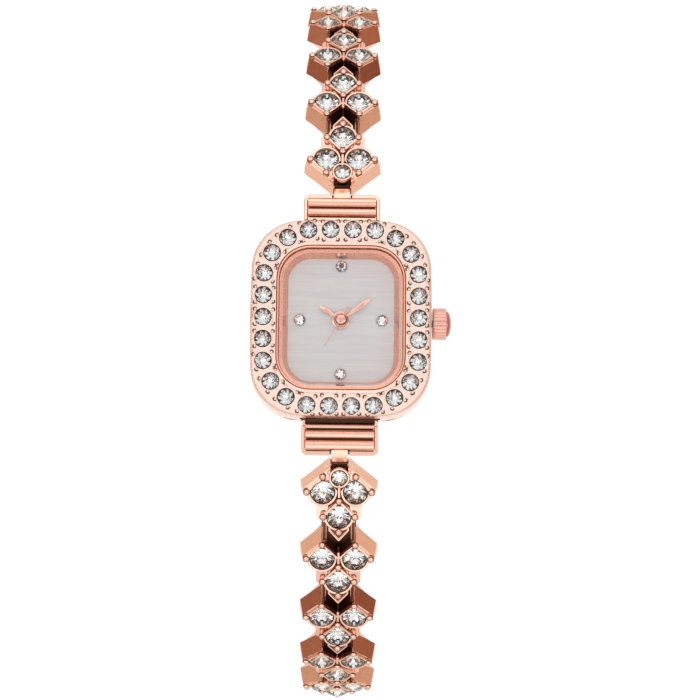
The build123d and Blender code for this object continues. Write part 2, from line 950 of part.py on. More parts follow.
def prong_places():
    """Prongs at the corners of the settings, one of them shared by all three stones."""
    side = row_half + prong_step
    places = [(side, 0), (row_half, -prong_step), (prong_step, centre_step)]
    places += [(-x, y) for x, y in places]
    return places + [(0, centre_step - prong_step), (0, centre_step + prong_step)]


def add_prongs(body):
    for x, y in prong_places():
        body += post(prong_radius, x, y, -plate_drop, prong_rise)
        body += Pos(x, y, prong_rise) * Sphere(prong_radius)
    return body


def cut_seats(body):
    seat = stone_seat(link_stone_size)
    for x, y in stone_places():
        body -= Pos(x, y, 0) * seat
    return body


def make_plain_link():
    """Link in its own frame: the row of two stones is centred on the origin."""
    front = [
        (0, -notch_point),
        (row_half, -setting_half),
        (wing_tip, wing_draft - wing_reach),
        (link_half_width, wing_draft - wing_side),
        (link_half_width - rim_width, notch_point),
    ]
    body = settings(front)
    wall = wing_wall(wing_tip, wing_reach, wing_side, wing_draft)
    top = -hinge_drop + hinge_radius
    bottom = -hinge_drop - hinge_radius
    arm = block(arm_inner, arm_outer, -hinge_back, -arm_root, bottom, top)
    arm += rod(hinge_radius, arm_inner, arm_outer, -hinge_back, -hinge_drop)
    for shape in both_sides(wall + arm):
        body += shape
    body = add_prongs(cut_seats(body))
    width = 2 * link_half_width
    body -= rod(pin_radius + pin_press_gap, -width, width, -hinge_back, -hinge_drop)
    body -= rod(pin_radius + pin_running_gap, -width, width, hinge_front, -hinge_drop)
    pin = rod(pin_radius, -arm_outer, arm_outer, -hinge_back, -hinge_drop)
    shape = stone(link_stone_size)
    stones = [Pos(x, y, 0) * shape for x, y in stone_places()]
    return [body, pin], stones


def make_first_link():
    """First link, whose pointed side takes the strap."""
    front = [
        (apex_half, apex_draft - apex_reach),
        (link_half_width, apex_draft - apex_side),
        (link_half_width - rim_width, notch_point),
    ]
    body = settings(front)
    wall = wing_wall(apex_half, apex_reach, apex_side, apex_draft)
    cheek = block(
        apex_half,
        apex_half + cheek_width,
        -apex_reach,
        -cheek_root,
        -hinge_drop - hinge_radius,
        -cheek_drop,
    )
    for shape in both_sides(wall + cheek):
        body += shape
    body += post(small_cup_radius, 0, -small_stone_back, -small_cup_depth, 0)
    slot = apex_half
    low = -wall_depth - overrun
    body -= block(-slot, slot, -apex_reach - overrun, -under_end, low, -roof_drop)
    body -= block(-slot, slot, -apex_reach - overrun, -roof_end, low, overrun)
    body = add_prongs(cut_seats(body))
    body -= Pos(0, -small_stone_back, 0) * stone_seat(small_stone_size)
    for x in (-small_prong_place, small_prong_place):
        y = -small_stone_back - small_prong_place
        body += post(small_prong_radius, x, y, -plate_drop, prong_rise)
        body += Pos(x, y, prong_rise) * Sphere(small_prong_radius)
    width = 2 * link_half_width
    body -= rod(pin_radius + pin_press_gap, -width, width, -strap_pin_back, -hinge_drop)
    body -= rod(pin_radius + pin_running_gap, -width, width, hinge_front, -hinge_drop)
    half = apex_half + cheek_width
    pin = rod(pin_radius, -half, half, -strap_pin_back, -hinge_drop)
    shape = stone(link_stone_size)
    stones = [Pos(x, y, 0) * shape for x, y in stone_places()]
    stones.append(Pos(0, -small_stone_back, 0) * stone(small_stone_size))
    return [body, pin], stones


# Clasp

def hinge_arms(length):
    """Two arms round the last link's tail, in a frame with their pin at the origin."""
    arm = block(arm_inner, arm_outer, 0, length, -clasp_thickness, clasp_thickness)
    arm += rod(hinge_radius, arm_inner, arm_outer, 0, 0)
    return both_sides(arm)


def make_ladder():
    arms = hinge_arms(ladder_length)
    body = arms[0] + arms[1]
    pitch = (ladder_length - ladder_bar_start) / ladder_bars
    for n in range(ladder_bars):
        y = ladder_bar_start + n * pitch
        body += rod(ladder_bar_radius, -arm_inner - clasp_gap, arm_inner + clasp_gap, y, 0)
    half = clasp_thickness
    body += block(-arm_outer, arm_outer, ladder_length - half, ladder_length, -half, half)
    body -= rod(pin_radius + pin_press_gap, -2 * arm_outer, 2 * arm_outer, 0, 0)
    return [body, rod(pin_radius, -arm_outer, arm_outer, 0, 0)]


def make_clasp_base():
    arms = hinge_arms(clasp_start + clasp_thickness)
    floor = -clasp_thickness
    body = block(-clasp_half, clasp_half, clasp_start, clasp_base_length, floor, 0)
    body += arms[0] + arms[1]
    knuckle = clasp_knuckle_half
    rise = clasp_knuckle_rise
    body += rod(clasp_knuckle_radius, -knuckle, knuckle, clasp_base_length, rise)
    knuckle_start = clasp_base_length - clasp_knuckle_radius
    body += block(-knuckle, knuckle, knuckle_start, clasp_base_length, floor, rise)
    side = block(
        knuckle,
        clasp_half + overrun,
        knuckle_start - clasp_gap,
        clasp_base_length + overrun,
        floor - overrun,
        overrun,
    )
    for shape in both_sides(side):
        body -= shape
    half = hook_width / 2
    body += block(-half, half, hook_at, hook_at + hook_length / 2, 0, hook_height)
    body += block(-half, half, hook_at, hook_at + hook_length, hook_height / 2, hook_height)
    body -= rod(pin_radius + pin_press_gap, -2 * arm_outer, 2 * arm_outer, 0, 0)
    body -= rod(clasp_pin_radius + pin_press_gap, -clasp_half, clasp_half, clasp_base_length, rise)
    pins = [
        rod(pin_radius, -arm_outer, arm_outer, 0, 0),
        rod(clasp_pin_radius, -clasp_half, clasp_half, clasp_base_length, rise),
    ]
    return [body] + pins


def make_clasp_cover():
    inner = clasp_half + clasp_gap
    outer = inner + cover_skirt
    top = cover_rise + cover_thickness
    end = clasp_base_length - clasp_knuckle_radius - clasp_gap
    rise = clasp_knuckle_rise
    body = block(-outer, outer, cover_start, end, cover_rise, top)
    skirt = block(inner, outer, cover_start, end, top - cover_skirt_drop - cover_thickness, cover_rise)
    knuckle = rod(clasp_knuckle_radius, clasp_knuckle_half + clasp_gap, clasp_half, clasp_base_length, rise)
    strip = block(
        clasp_knuckle_half + clasp_gap,
        clasp_half,
        end - clasp_thickness,
        clasp_base_length,
        cover_rise,
        rise + clasp_knuckle_radius,
    )
    for shape in both_sides(skirt + knuckle + strip):
        body += shape
    body -= rod(clasp_pin_radius + pin_running_gap, -outer, outer, clasp_base_length, rise)
    return [body]


# Bracelet stations: each hinge in the YZ plane, found from the case outwards

class Station:
    """One piece of the bracelet: its hinge, its tilt and the range that its stops leave it."""

    def __init__(self, name, parent, side, pivot, tilt, before, stop_in, stop_out):
        self.name = name
        self.parent = parent
        self.side = side
        self.pivot = pivot
        self.tilt = tilt
        bend = tilt - before
        inward = stop_in - bend
        outward = bend + stop_out
        self.range = (-inward, outward) if side > 0 else (-outward, inward)

    def along(self, distance, out):
        """Point at a distance along the bracelet from the hinge, and out towards its outer face."""
        turn = radians(self.tilt)
        y = self.pivot[0] + self.side * (distance * cos(turn) + out * sin(turn))
        z = self.pivot[1] - distance * sin(turn) + out * cos(turn)
        return (y, z)

    def frame(self, distance, out):
        """Local frame there: X across, Y along the bracelet, Z towards its outer face."""
        y, z = self.along(distance, out)
        turn = radians(self.tilt)
        return Plane(
            origin=(0, y, z),
            x_dir=(self.side, 0, 0),
            z_dir=(0, self.side * sin(turn), cos(turn)),
        ).location


def stations(word, side, strap_tilt, tilts, last_name, last_tilt):
    start = (side * bar_reach, bar_level)
    end = Station(f"{word}_end_link", "case", side, start, end_tilt, 0, end_stop_in, end_stop_out)
    strap = Station(
        f"{word}_connector",
        end.name,
        side,
        end.along(end_reach, 0),
        strap_tilt,
        end_tilt,
        strap_stop_in,
        strap_stop_out,
    )
    chain = [end, strap]
    pivot = strap.along(strap_pitch, 0)
    for n, tilt in enumerate(tilts):
        before = chain[-1]
        name = f"{word}_link_{n + 1}"
        station = Station(name, before.name, side, pivot, tilt, before.tilt, link_stop_in, link_stop_out)
        reach = hinge_front + (strap_pin_back if n == 0 else hinge_back)
        pivot = station.along(reach, 0)
        chain.append(station)
    before = chain[-1]
    chain.append(
        Station(last_name, before.name, side, pivot, last_tilt, before.tilt, link_stop_in, link_stop_out)
    )
    return chain


def save_bracelet(chain, last_solids):
    end, strap, links, last = chain[0], chain[1], chain[2:-1], chain[-1]
    save(end.name, *[end.frame(0, 0) * s for s in make_end_link()])
    save(strap.name, *[strap.frame(0, 0) * s for s in make_strap()])
    first = make_first_link()
    plain = make_plain_link()
    for n, station in enumerate(links):
        frame, stones = first if n == 0 else plain
        place = station.frame(strap_pin_back if n == 0 else hinge_back, hinge_drop)
        save(f"{station.name}_frame", *[place * s for s in frame])
        save(f"{station.name}_stones", *[place * s for s in stones])
    save(last.name, *[last.frame(0, 0) * s for s in last_solids])


def joint_report(chains, cover_place):
    """Hinge places and ranges, for the record of how the pieces move."""
    rows = []
    for chain in chains:
        for s in chain:
            y, z = s.pivot
            rows.append({"name": s.name, "parent": s.parent, "y": y, "z": z, "range": s.range})
    places = {"third": third_at, "intermediate": intermediate_at, "rotor": rotor_at, "minute": minute_at}
    return json.dumps(
        {
            "bracelet": rows,
            "cover": cover_place,
            "cover_range": [0, cover_opening],
            "train": places,
            "crown": [crown_start, crown_level, crown_travel],
        }
    )


save("case_body", make_case_body())
save("bezel", make_bezel())
save("case_stones", *make_case_stones())
save("crystal", make_crystal())
save("inner_ring", make_inner_ring())
save("dial", make_dial())
save("case_back", make_case_back())
save("case_back_gasket", make_gasket())
save("movement_holder", make_movement_holder())
save("main_plate", make_main_plate())
save("train_bridge", make_train_bridge())
save("button_cell", make_button_cell())
save("stator", make_stator())
save("coil", make_coil())
save("circuit_board", *make_circuit_board())
save("rotor", make_rotor())
save("intermediate_wheel", make_intermediate_wheel())
save("seconds_wheel", make_seconds_wheel())
save("third_wheel", make_third_wheel())
save("centre_wheel", make_centre_wheel())
save("minute_wheel", make_minute_wheel())
save("hour_wheel", make_hour_wheel())
save("hour_hand", make_hour_hand())
save("minute_hand", make_minute_hand())
save("second_hand", make_second_hand())
save("stem", make_stem())
save("crown", make_crown())
save("setting_lever", make_setting_lever())
save("spring_bars", *make_spring_bars())

upper = stations("upper", 1, upper_strap_tilt, upper_tilts, "clasp_ladder", ladder_tilt)
lower = stations("lower", -1, lower_strap_tilt, lower_tilts, "clasp_base", clasp_tilt)
save_bracelet(upper, make_ladder())
save_bracelet(lower, make_clasp_base())
base = lower[-1]
save("clasp_cover", *[base.frame(0, 0) * s for s in make_clasp_cover()])
print(joint_report([upper, lower], base.along(clasp_base_length, clasp_knuckle_rise)))
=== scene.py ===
import json
from math import atan2, cos, hypot, pi, radians, sin

import bmesh
import bpy
from mathutils import Matrix, Vector


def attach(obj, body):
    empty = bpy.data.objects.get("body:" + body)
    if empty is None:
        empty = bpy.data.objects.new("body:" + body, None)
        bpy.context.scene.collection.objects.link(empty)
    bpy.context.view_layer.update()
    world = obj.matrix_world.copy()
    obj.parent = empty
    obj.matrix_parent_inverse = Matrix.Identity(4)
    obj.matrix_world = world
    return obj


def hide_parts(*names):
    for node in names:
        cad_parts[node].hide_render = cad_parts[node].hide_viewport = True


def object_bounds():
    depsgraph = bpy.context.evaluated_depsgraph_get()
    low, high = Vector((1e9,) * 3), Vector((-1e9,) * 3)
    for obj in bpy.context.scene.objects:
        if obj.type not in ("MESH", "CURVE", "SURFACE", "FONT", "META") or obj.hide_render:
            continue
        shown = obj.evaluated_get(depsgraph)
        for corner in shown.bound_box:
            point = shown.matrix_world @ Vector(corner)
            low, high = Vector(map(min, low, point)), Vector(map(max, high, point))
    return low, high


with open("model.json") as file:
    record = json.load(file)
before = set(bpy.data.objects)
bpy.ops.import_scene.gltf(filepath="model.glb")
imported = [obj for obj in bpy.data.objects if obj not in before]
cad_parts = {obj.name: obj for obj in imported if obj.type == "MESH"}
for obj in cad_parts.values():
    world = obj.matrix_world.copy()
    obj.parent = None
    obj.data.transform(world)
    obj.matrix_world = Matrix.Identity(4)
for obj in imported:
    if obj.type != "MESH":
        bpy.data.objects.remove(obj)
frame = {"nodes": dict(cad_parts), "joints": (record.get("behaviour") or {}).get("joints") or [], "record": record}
nodes = frame["nodes"]
cad_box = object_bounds()
scene = bpy.context.scene
scene.view_settings.view_transform = "Standard"
mm = 0.001


# Camera, as the photograph was taken: from a little below the dial's normal

view_distance = 0.455
view_tilt = radians(11.0)
view_lean = radians(0.6)
pixel = 0.1326 * mm
picture = 700
dial_centre = Vector((0, 0, 3.9 * mm))
dial_pixel = (340.9, 320.9)


def make_camera():
    data = bpy.data.cameras.new("camera")
    data.sensor_width = 36
    data.lens = data.sensor_width * view_distance / (picture * pixel)
    data.clip_start = 0.01
    data.clip_end = 10
    camera = bpy.data.objects.new("camera", data)
    scene.collection.objects.link(camera)
    away = Vector((0, -sin(view_tilt), cos(view_tilt)))
    place = dial_centre + away * view_distance
    right = Matrix.Rotation(view_lean, 3, away) @ Vector((1, 0, 0))
    up = away.cross(right)
    step_x = (picture / 2 - dial_pixel[0]) * pixel
    step_y = (dial_pixel[1] - picture / 2) * pixel
    target = dial_centre + right * step_x + up * step_y
    back = (place - target).normalized()
    side = up.cross(back).normalized()
    turn = Matrix((side, back.cross(side), back)).transposed()
    camera.matrix_world = Matrix.Translation(place) @ turn.to_4x4()
    scene.camera = camera


# Light, floor and the dark cards that polished metal needs to look like metal

white, black = (1, 1, 1, 1), (0, 0, 0, 1)
# The open cover of the clasp swings this far below the rest pose, with a little room
cover_swing = 10.8 * mm
floor_level = cad_box[0][2] - cover_swing
floor_reach, card_reach, table_start = 3.0, 0.7, 0.05
table_tone, soft_tone = (0.94, 0.78, 0.62), (1.6, 1.57, 1.54)
side_bands = (
    (-5, 4, (0.93, 0.77, 0.61)),
    (4, 8, (0.5, 0.3, 0.18)),
    (8, 13.5, (0.22, 0.08, 0.045)),
    (13.5, 18, (0.47, 0.21, 0.12)),
    (18, 23, (0.75, 0.52, 0.4)),
)


def node_maker(tree):
    """Short way to add a node with its inputs, and links where an input is a socket."""

    def add(kind, inputs=None, **settings):
        node = tree.nodes.new("ShaderNode" + kind)
        for key, value in settings.items():
            setattr(node, key, value)
        for key, value in (inputs or {}).items():
            if isinstance(value, bpy.types.NodeSocket):
                tree.links.new(value, node.inputs[key])
            else:
                node.inputs[key].default_value = value
        return node

    return add


def fresh_tree(owner):
    """Emptied node tree of a world or a material, and its node maker."""
    owner.use_nodes = True
    owner.node_tree.nodes.clear()
    return owner.node_tree, node_maker(owner.node_tree)


def seen_directly(add):
    """1 for camera, glossy and transmission rays, 0 for the rays that light the object."""
    path = add("LightPath").outputs
    first = add("Math", {0: path["Is Camera Ray"], 1: path["Is Glossy Ray"]}, operation="MAXIMUM")
    both = {0: first.outputs[0], 1: path["Is Transmission Ray"]}
    return add("Math", both, operation="MAXIMUM").outputs[0]


def make_world():
    world = bpy.data.worlds.new("studio")
    scene.world = world
    tree, add = fresh_tree(world)
    light = add("Background", {"Color": white, "Strength": 0.5})
    seen = add("Background", {"Color": white, "Strength": 1.0})
    mix = add("MixShader", {0: seen_directly(add), 1: light.outputs[0], 2: seen.outputs[0]})
    tree.links.new(mix.outputs[0], add("OutputWorld").inputs["Surface"])


def make_lamp(name, place, size, power, reflected):
    data = bpy.data.lights.new(name, "AREA")
    data.shape = "RECTANGLE"
    data.size, data.size_y = size
    data.energy = power
    lamp = bpy.data.objects.new(name, data)
    scene.collection.objects.link(lamp)
    lamp.location = place
    lamp.rotation_mode = "QUATERNION"
    lamp.rotation_quaternion = Vector(place).to_track_quat("Z", "Y")
    lamp.visible_glossy = reflected
    lamp.visible_transmission = reflected


def stage_sheet(name, corners, faces, surface):
    """Sheet of the stage; surface is a function that adds the nodes of its material."""
    mesh = bpy.data.meshes.new(name)
    mesh.from_pydata(corners, [], faces)
    sheet = bpy.data.objects.new(name, mesh)
    scene.collection.objects.link(sheet)
    material = bpy.data.materials.new(name)
    tree, add = fresh_tree(material)
    tree.links.new(surface(add).outputs[0], add("OutputMaterial").inputs["Surface"])
    mesh.materials.append(material)
    return sheet


def floor_surface(add):
    """Grey card that looks lighter than it lights the object."""
    card = add("BsdfDiffuse", {"Color": (0.42, 0.42, 0.42, 1)})
    glow = add("Emission", {"Color": white, "Strength": 0.7})
    nothing = add("Emission", {"Color": black, "Strength": 0.0})
    lit = add("MixShader", {0: seen_directly(add), 1: nothing.outputs[0], 2: glow.outputs[0]})
    return add("AddShader", {0: card.outputs[0], 1: lit.outputs[0]})


def make_floor():
    """Pale floor, low enough for the clasp's cover at its limit."""
    signs = ((-1, -1), (1, -1), (1, 1), (-1, 1))
    corners = [(x * floor_reach, y * floor_reach, floor_level) for x, y in signs]
    stage_sheet("floor", corners, [(0, 1, 2, 3)], floor_surface)


def make_card(name, rows, start, sweep, colour):
    """Part of a round card between two rows of (reach, height); only reflections and glass see it."""
    steps = round(sweep / 10)
    corners = []
    for u, v in unit_arc(start, start + sweep, steps):
        corners += [(reach * u, reach * v, height) for reach, height in rows]
    faces = [(2 * k, 2 * k + 2, 2 * k + 3, 2 * k + 1) for k in range(steps)]
    glow = {"Color": (*colour, 1), "Strength": 1.0}
    card = stage_sheet(name, corners, faces, lambda add: add("Emission", glow))
    card.visible_camera = False
    card.visible_diffuse = False
    card.visible_shadow = False


def lifted(*angles):
    """Rows of (reach, height) on the cards' sphere, at angles above the dial's plane."""
    return [(card_reach * cos(radians(angle)), card_reach * sin(radians(angle))) for angle in angles]


def make_cards():
    """Warm table, a brown band low at the sides, and a soft bright card high in front and behind."""
    make_card("table", [(table_start, floor_level), (card_reach, floor_level)], 0, 360, table_tone)
    for side, start in (("right", -50), ("left", 130)):
        for n, (low, high, tone) in enumerate(side_bands):
            make_card(f"{side}_{n}", lifted(low, high), start, 100, tone)
    for name, start in (("behind", 50), ("front", 230)):
        make_card(f"soft_{name}", lifted(25, 60), start, 80, soft_tone)


# Materials, each kept under its own name

materials = {}


def new_material(name, colour, **sockets):
    """Principled material; gives its tree's node maker and its shader."""
    material = bpy.data.materials.new(name)
    material.use_nodes = True
    materials[name] = material
    shader = material.node_tree.nodes["Principled BSDF"]
    shader.inputs["Base Color"].default_value = (*colour, 1)
    for key, value in sockets.items():
        shader.inputs[key.replace("_", " ")].default_value = value
    return node_maker(material.node_tree), shader


def wire(shader, **sockets):
    """Lead sockets into the shader's inputs."""
    for key, value in sockets.items():
        shader.id_data.links.new(value, shader.inputs[key.replace("_", " ")])


def place_of(add, scale=(1, 1, 1)):
    coordinates = add("TexCoord").outputs["Object"]
    return add("Mapping", {"Vector": coordinates, "Scale": scale}).outputs["Vector"]


def noise(add, place, scale, detail, **more):
    return add("TexNoise", {"Vector": place, "Scale": scale, "Detail": detail, **more}).outputs["Fac"]


def spread(add, source, low, high):
    """A 0 to 1 value brought to a range."""
    return add("MapRange", {"Value": source, "To Min": low, "To Max": high}).outputs["Result"]


def two_tones(add, source, first, second):
    return add("Mix", {0: source, 6: (*first, 1), 7: (*second, 1)}, data_type="RGBA").outputs[2]


def bumped(add, height, strength, distance):
    return add("Bump", {"Height": height, "Strength": strength, "Distance": distance}).outputs["Normal"]


def polished_metal(name, tone, deep_tone, gloss=0.06, dull=0.16, grain=0.004 * mm, fine=5200.0):
    """Plated metal: two close tones, cloudy gloss, fine polishing marks and soft waviness."""
    add, shader = new_material(name, tone, Metallic=1.0, Roughness=gloss)
    place = place_of(add)
    cloud = noise(add, place, 420.0, 3.0, Roughness=0.6)
    rubbed = noise(add, place, 1400.0, 4.0, Roughness=0.7)
    waves = noise(add, place, 900.0, 2.0)
    marks = noise(add, place_of(add, (1, 7, 1)), fine, 2.0)
    height = add("Math", {0: waves, 1: marks}, operation="ADD").outputs[0]
    tones = two_tones(add, cloud, tone, deep_tone)
    relief = bumped(add, height, 1.0, grain)
    wire(shader, Base_Color=tones, Roughness=spread(add, rubbed, gloss, dull), Normal=relief)


def brushed_metal(name, tone, deep_tone, stretch):
    """Metal with fine lines along one axis."""
    add, shader = new_material(name, tone, Metallic=1.0, Roughness=0.3)
    lines = noise(add, place_of(add, stretch), 1500.0, 4.0)
    tones = two_tones(add, lines, tone, deep_tone)
    relief = bumped(add, lines, 0.6, 0.02 * mm)
    wire(shader, Base_Color=tones, Roughness=spread(add, lines, 0.22, 0.42), Normal=relief)


def plain_solid(name, tone, deep_tone, rough, size, bumps):
    """Moulded, lacquered or rubber surface: mottled tone and a fine texture."""
    add, shader = new_material(name, tone, Roughness=rough)
    cloud = noise(add, place_of(add), size, 4.0)
    tones = two_tones(add, cloud, tone, deep_tone)
    relief = bumped(add, cloud, 0.5, bumps)
    wire(shader, Base_Color=tones, Roughness=spread(add, cloud, rough * 0.8, rough * 1.2), Normal=relief)


def clear_glass(name, ior):
    add, shader = new_material(name, (1, 1, 1), Roughness=0.0, IOR=ior, Transmission_Weight=1.0)
    wire(shader, Normal=bumped(add, noise(add, place_of(add), 800.0, 2.0), 0.1, 0.0002 * mm))


def pearl_lacquer(name):
    """Pearl dial: fine level streaks, clouds of pale pink and green, and a soft gloss."""
    add, shader = new_material(name, (0.7, 0.7, 0.7), Roughness=0.35, Coat_Weight=0.4, Coat_Roughness=0.12)
    streaks = noise(add, place_of(add, (110, 2300, 110)), 1.0, 5.0, Distortion=0.6)
    clouds = noise(add, place_of(add, (90, 190, 90)), 1.0, 2.0)
    pale = two_tones(add, spread(add, streaks, -0.4, 1.4), (0.79, 0.79, 0.80), (0.92, 0.91, 0.91))
    tint = two_tones(add, spread(add, clouds, -0.6, 1.6), (0.97, 1.0, 0.985), (1.0, 0.955, 0.965))
    mix = add("Mix", {0: 1.0, 6: pale, 7: tint}, data_type="RGBA", blend_type="MULTIPLY")
    wire(shader, Base_Color=mix.outputs[2], Roughness=spread(add, streaks, 0.25, 0.45))


def stone_back(name, tone, first, second, rough):
    """Mirror behind a stone, faintly cloudy."""
    add, shader = new_material(name, tone, Metallic=1.0, Roughness=rough)
    wire(shader, Base_Color=two_tones(add, noise(add, place_of(add), 2600.0, 3.0), first, second))


def make_materials():
    polished_metal("rose_gold", (0.87, 0.57, 0.46), (0.83, 0.50, 0.385))
    # The bezel's grained plating, made paler than the rest as a painted highlight
    polished_metal("bezel_gold_painted_highlight", (0.87, 0.66, 0.585), (0.83, 0.585, 0.50), 0.16, 0.3, 0.03 * mm, 9000.0)
    polished_metal("dome_gold", (0.58, 0.21, 0.20), (0.52, 0.17, 0.16), 0.08, 0.14)
    # Dark platings that stand for painted shade: thin lines, and broader patches in hollows
    polished_metal("painted_shade_line", (0.07, 0.03, 0.02), (0.04, 0.018, 0.012), 0.3, 0.45)
    polished_metal("shadow_brown", (0.16, 0.07, 0.045), (0.10, 0.042, 0.026), 0.3, 0.45)
    polished_metal("ring_gold", (0.97, 0.465, 0.325), (0.93, 0.415, 0.28), 0.24, 0.3, 0.0005 * mm)
    polished_metal("crown_gold", (0.80, 0.47, 0.39), (0.72, 0.40, 0.33), 0.1, 0.2)
    polished_metal("hand_gold", (0.78, 0.42, 0.33), (0.74, 0.37, 0.28), 0.08, 0.18)
    polished_metal("wheel_brass", (0.80, 0.60, 0.28), (0.72, 0.52, 0.22), 0.12, 0.24)
    polished_metal("coil_copper", (0.62, 0.28, 0.12), (0.52, 0.20, 0.08), 0.2, 0.34)
    brushed_metal("back_steel", (0.62, 0.61, 0.60), (0.50, 0.49, 0.48), (1, 30, 1))
    brushed_metal("plate_brass", (0.70, 0.55, 0.30), (0.58, 0.44, 0.22), (20, 1, 1))
    brushed_metal("cell_steel", (0.68, 0.68, 0.69), (0.58, 0.58, 0.59), (1, 12, 1))
    brushed_metal("core_steel", (0.50, 0.50, 0.52), (0.42, 0.42, 0.44), (10, 1, 1))
    plain_solid("gasket_rubber", (0.02, 0.02, 0.02), (0.04, 0.04, 0.04), 0.7, 3000.0, 0.02 * mm)
    plain_solid("holder_plastic", (0.75, 0.75, 0.72), (0.66, 0.66, 0.62), 0.5, 2500.0, 0.01 * mm)
    plain_solid("board_green", (0.04, 0.16, 0.07), (0.03, 0.12, 0.05), 0.35, 1500.0, 0.01 * mm)
    clear_glass("clear_stone", 1.58)
    clear_glass("crystal_glass", 1.46)
    pearl_lacquer("pearl_dial")
    stone_back("stone_foil", (0.90, 0.91, 0.93), (0.93, 0.94, 0.93), (0.78, 0.79, 0.78), 0.03)
    # Dark back on some facets: a painted reflection of dark surroundings
    stone_back("stone_shade", (0.06, 0.06, 0.065), (0.03, 0.03, 0.035), (0.16, 0.16, 0.17), 0.06)


# Pieces, built in millimetres in their own frame and then placed

case_place = Matrix.Identity(4)


def new_piece(name, bm, matrix, body, slot, *replaced, tone_or_painted_light=None):
    """Place a built mesh and name its slot, its body and the nodes that it stands for.
    A material given by keyword is one other than the slot's own: a tone of its own, or one that carries painted
    shade or a painted highlight."""
    bmesh.ops.recalc_face_normals(bm, faces=bm.faces)
    bm.transform(matrix @ Matrix.Scale(mm, 4))
    mesh = bpy.data.meshes.new(name)
    bm.to_mesh(mesh)
    bm.free()
    piece = bpy.data.objects.new(name, mesh)
    scene.collection.objects.link(piece)
    mesh.materials.append(materials[tone_or_painted_light or slot])
    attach(piece, body)
    if replaced:
        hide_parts(*replaced)
    return piece


def smooth(piece):
    for polygon in piece.data.polygons:
        polygon.use_smooth = True


def soften(piece, width, segments=2, angle=35):
    """Rounded edges on a piece whose flat faces stay flat."""
    smooth(piece)
    bevel = piece.modifiers.new("edges", "BEVEL")
    bevel.width = width * mm
    bevel.segments = segments
    bevel.limit_method = "ANGLE"
    bevel.angle_limit = radians(angle)
    bevel.harden_normals = True
    bevel.use_clamp_overlap = True


def unit_arc(start, end, steps):
    """Points on a circle of radius 1, angles in degrees."""
    angles = [radians(start + (end - start) * k / steps) for k in range(steps + 1)]
    return [(cos(a), sin(a)) for a in angles]


def arc(centre, radius, start, end, steps):
    """Points (u, v) on an arc, angles in degrees."""
    return [(centre[0] + radius * u, centre[1] + radius * v) for u, v in unit_arc(start, end, steps)]


def mirrored(outline):
    return [(-x, y) for x, y in reversed(outline)]


def ring_shell(bm, rings, closed=False, capped=False):
    """Skin between rings of points, each ring having the same number of points."""
    rows = [[bm.verts.new(place) for place in ring] for ring in rings]
    if capped:
        bm.faces.new(rows[0][::-1])
        bm.faces.new(rows[-1])
    count = len(rows[0])
    for n in range(len(rows) if closed else len(rows) - 1):
        low, high = rows[n], rows[(n + 1) % len(rows)]
        for k in range(count):
            after = (k + 1) % count
            bm.faces.new((low[k], low[after], high[after], high[k]))
    return rows


def turned(bm, profile, at=(0, 0, 0), sides=48):
    """Body of revolution about Z through a point; a radius of zero closes it there."""
    circle = unit_arc(0, 360, sides)[:-1]
    rings = []
    for radius, z in profile:
        rings.append([(at[0] + radius * u, at[1] + radius * v, at[2] + z) for u, v in circle])
    closed = profile[0][0] > 0 and profile[-1][0] > 0
    rows = ring_shell(bm, rings, closed)
    if not closed:
        bmesh.ops.remove_doubles(bm, verts=rows[0] + rows[-1], dist=1e-5)


def prism(bm, outline, low, high):
    """Outline of the XY plane between two levels."""
    ring_shell(bm, [[(x, y, z) for x, y in outline] for z in (low, high)], capped=True)


def swept(bm, outline, x0, x1):
    """Outline of (y, z) points drawn out along X."""
    ring_shell(bm, [[(x, y, z) for y, z in outline] for x in (x0, x1)], capped=True)


def rounded_rod(bm, radius, x0, x1, y, z, sides=32):
    """Rod along X."""
    swept(bm, arc((y, z), radius, 0, 360, sides)[:-1], x0, x1)


def bar(bm, x0, x1, y0, y1, z0, z1):
    prism(bm, [(x0, y0), (x1, y0), (x1, y1), (x0, y1)], z0, z1)


def middle_bar(bm, half, y0, y1, z0, z1):
    bar(bm, -half, half, y0, y1, z0, z1)


def side_bars(bm, inner, outer, y0, y1, z0, z1):
    """The same bar at both sides of the middle."""
    bar(bm, inner, outer, y0, y1, z0, z1)
    bar(bm, -outer, -inner, y0, y1, z0, z1)


# Stones

crown_share, girdle_share, back_share, table_share = 0.15, 0.03, 0.36, 0.56
middle_share, low_share = 0.79, 0.42
foiled_size, stone_faces, seat_gap = 1.6, 73, 0.09
# Dark facets picked here are a painted reflection; the dark ring in each seat's gap is painted shade
turn_step, shade_cycle, shaded = 2.4, 11, 4
edge_gap, edge_depth, edge_rise, fine_edge, wide_edge = 0.01, 0.12, 0.015, 0.03, seat_gap + 0.02


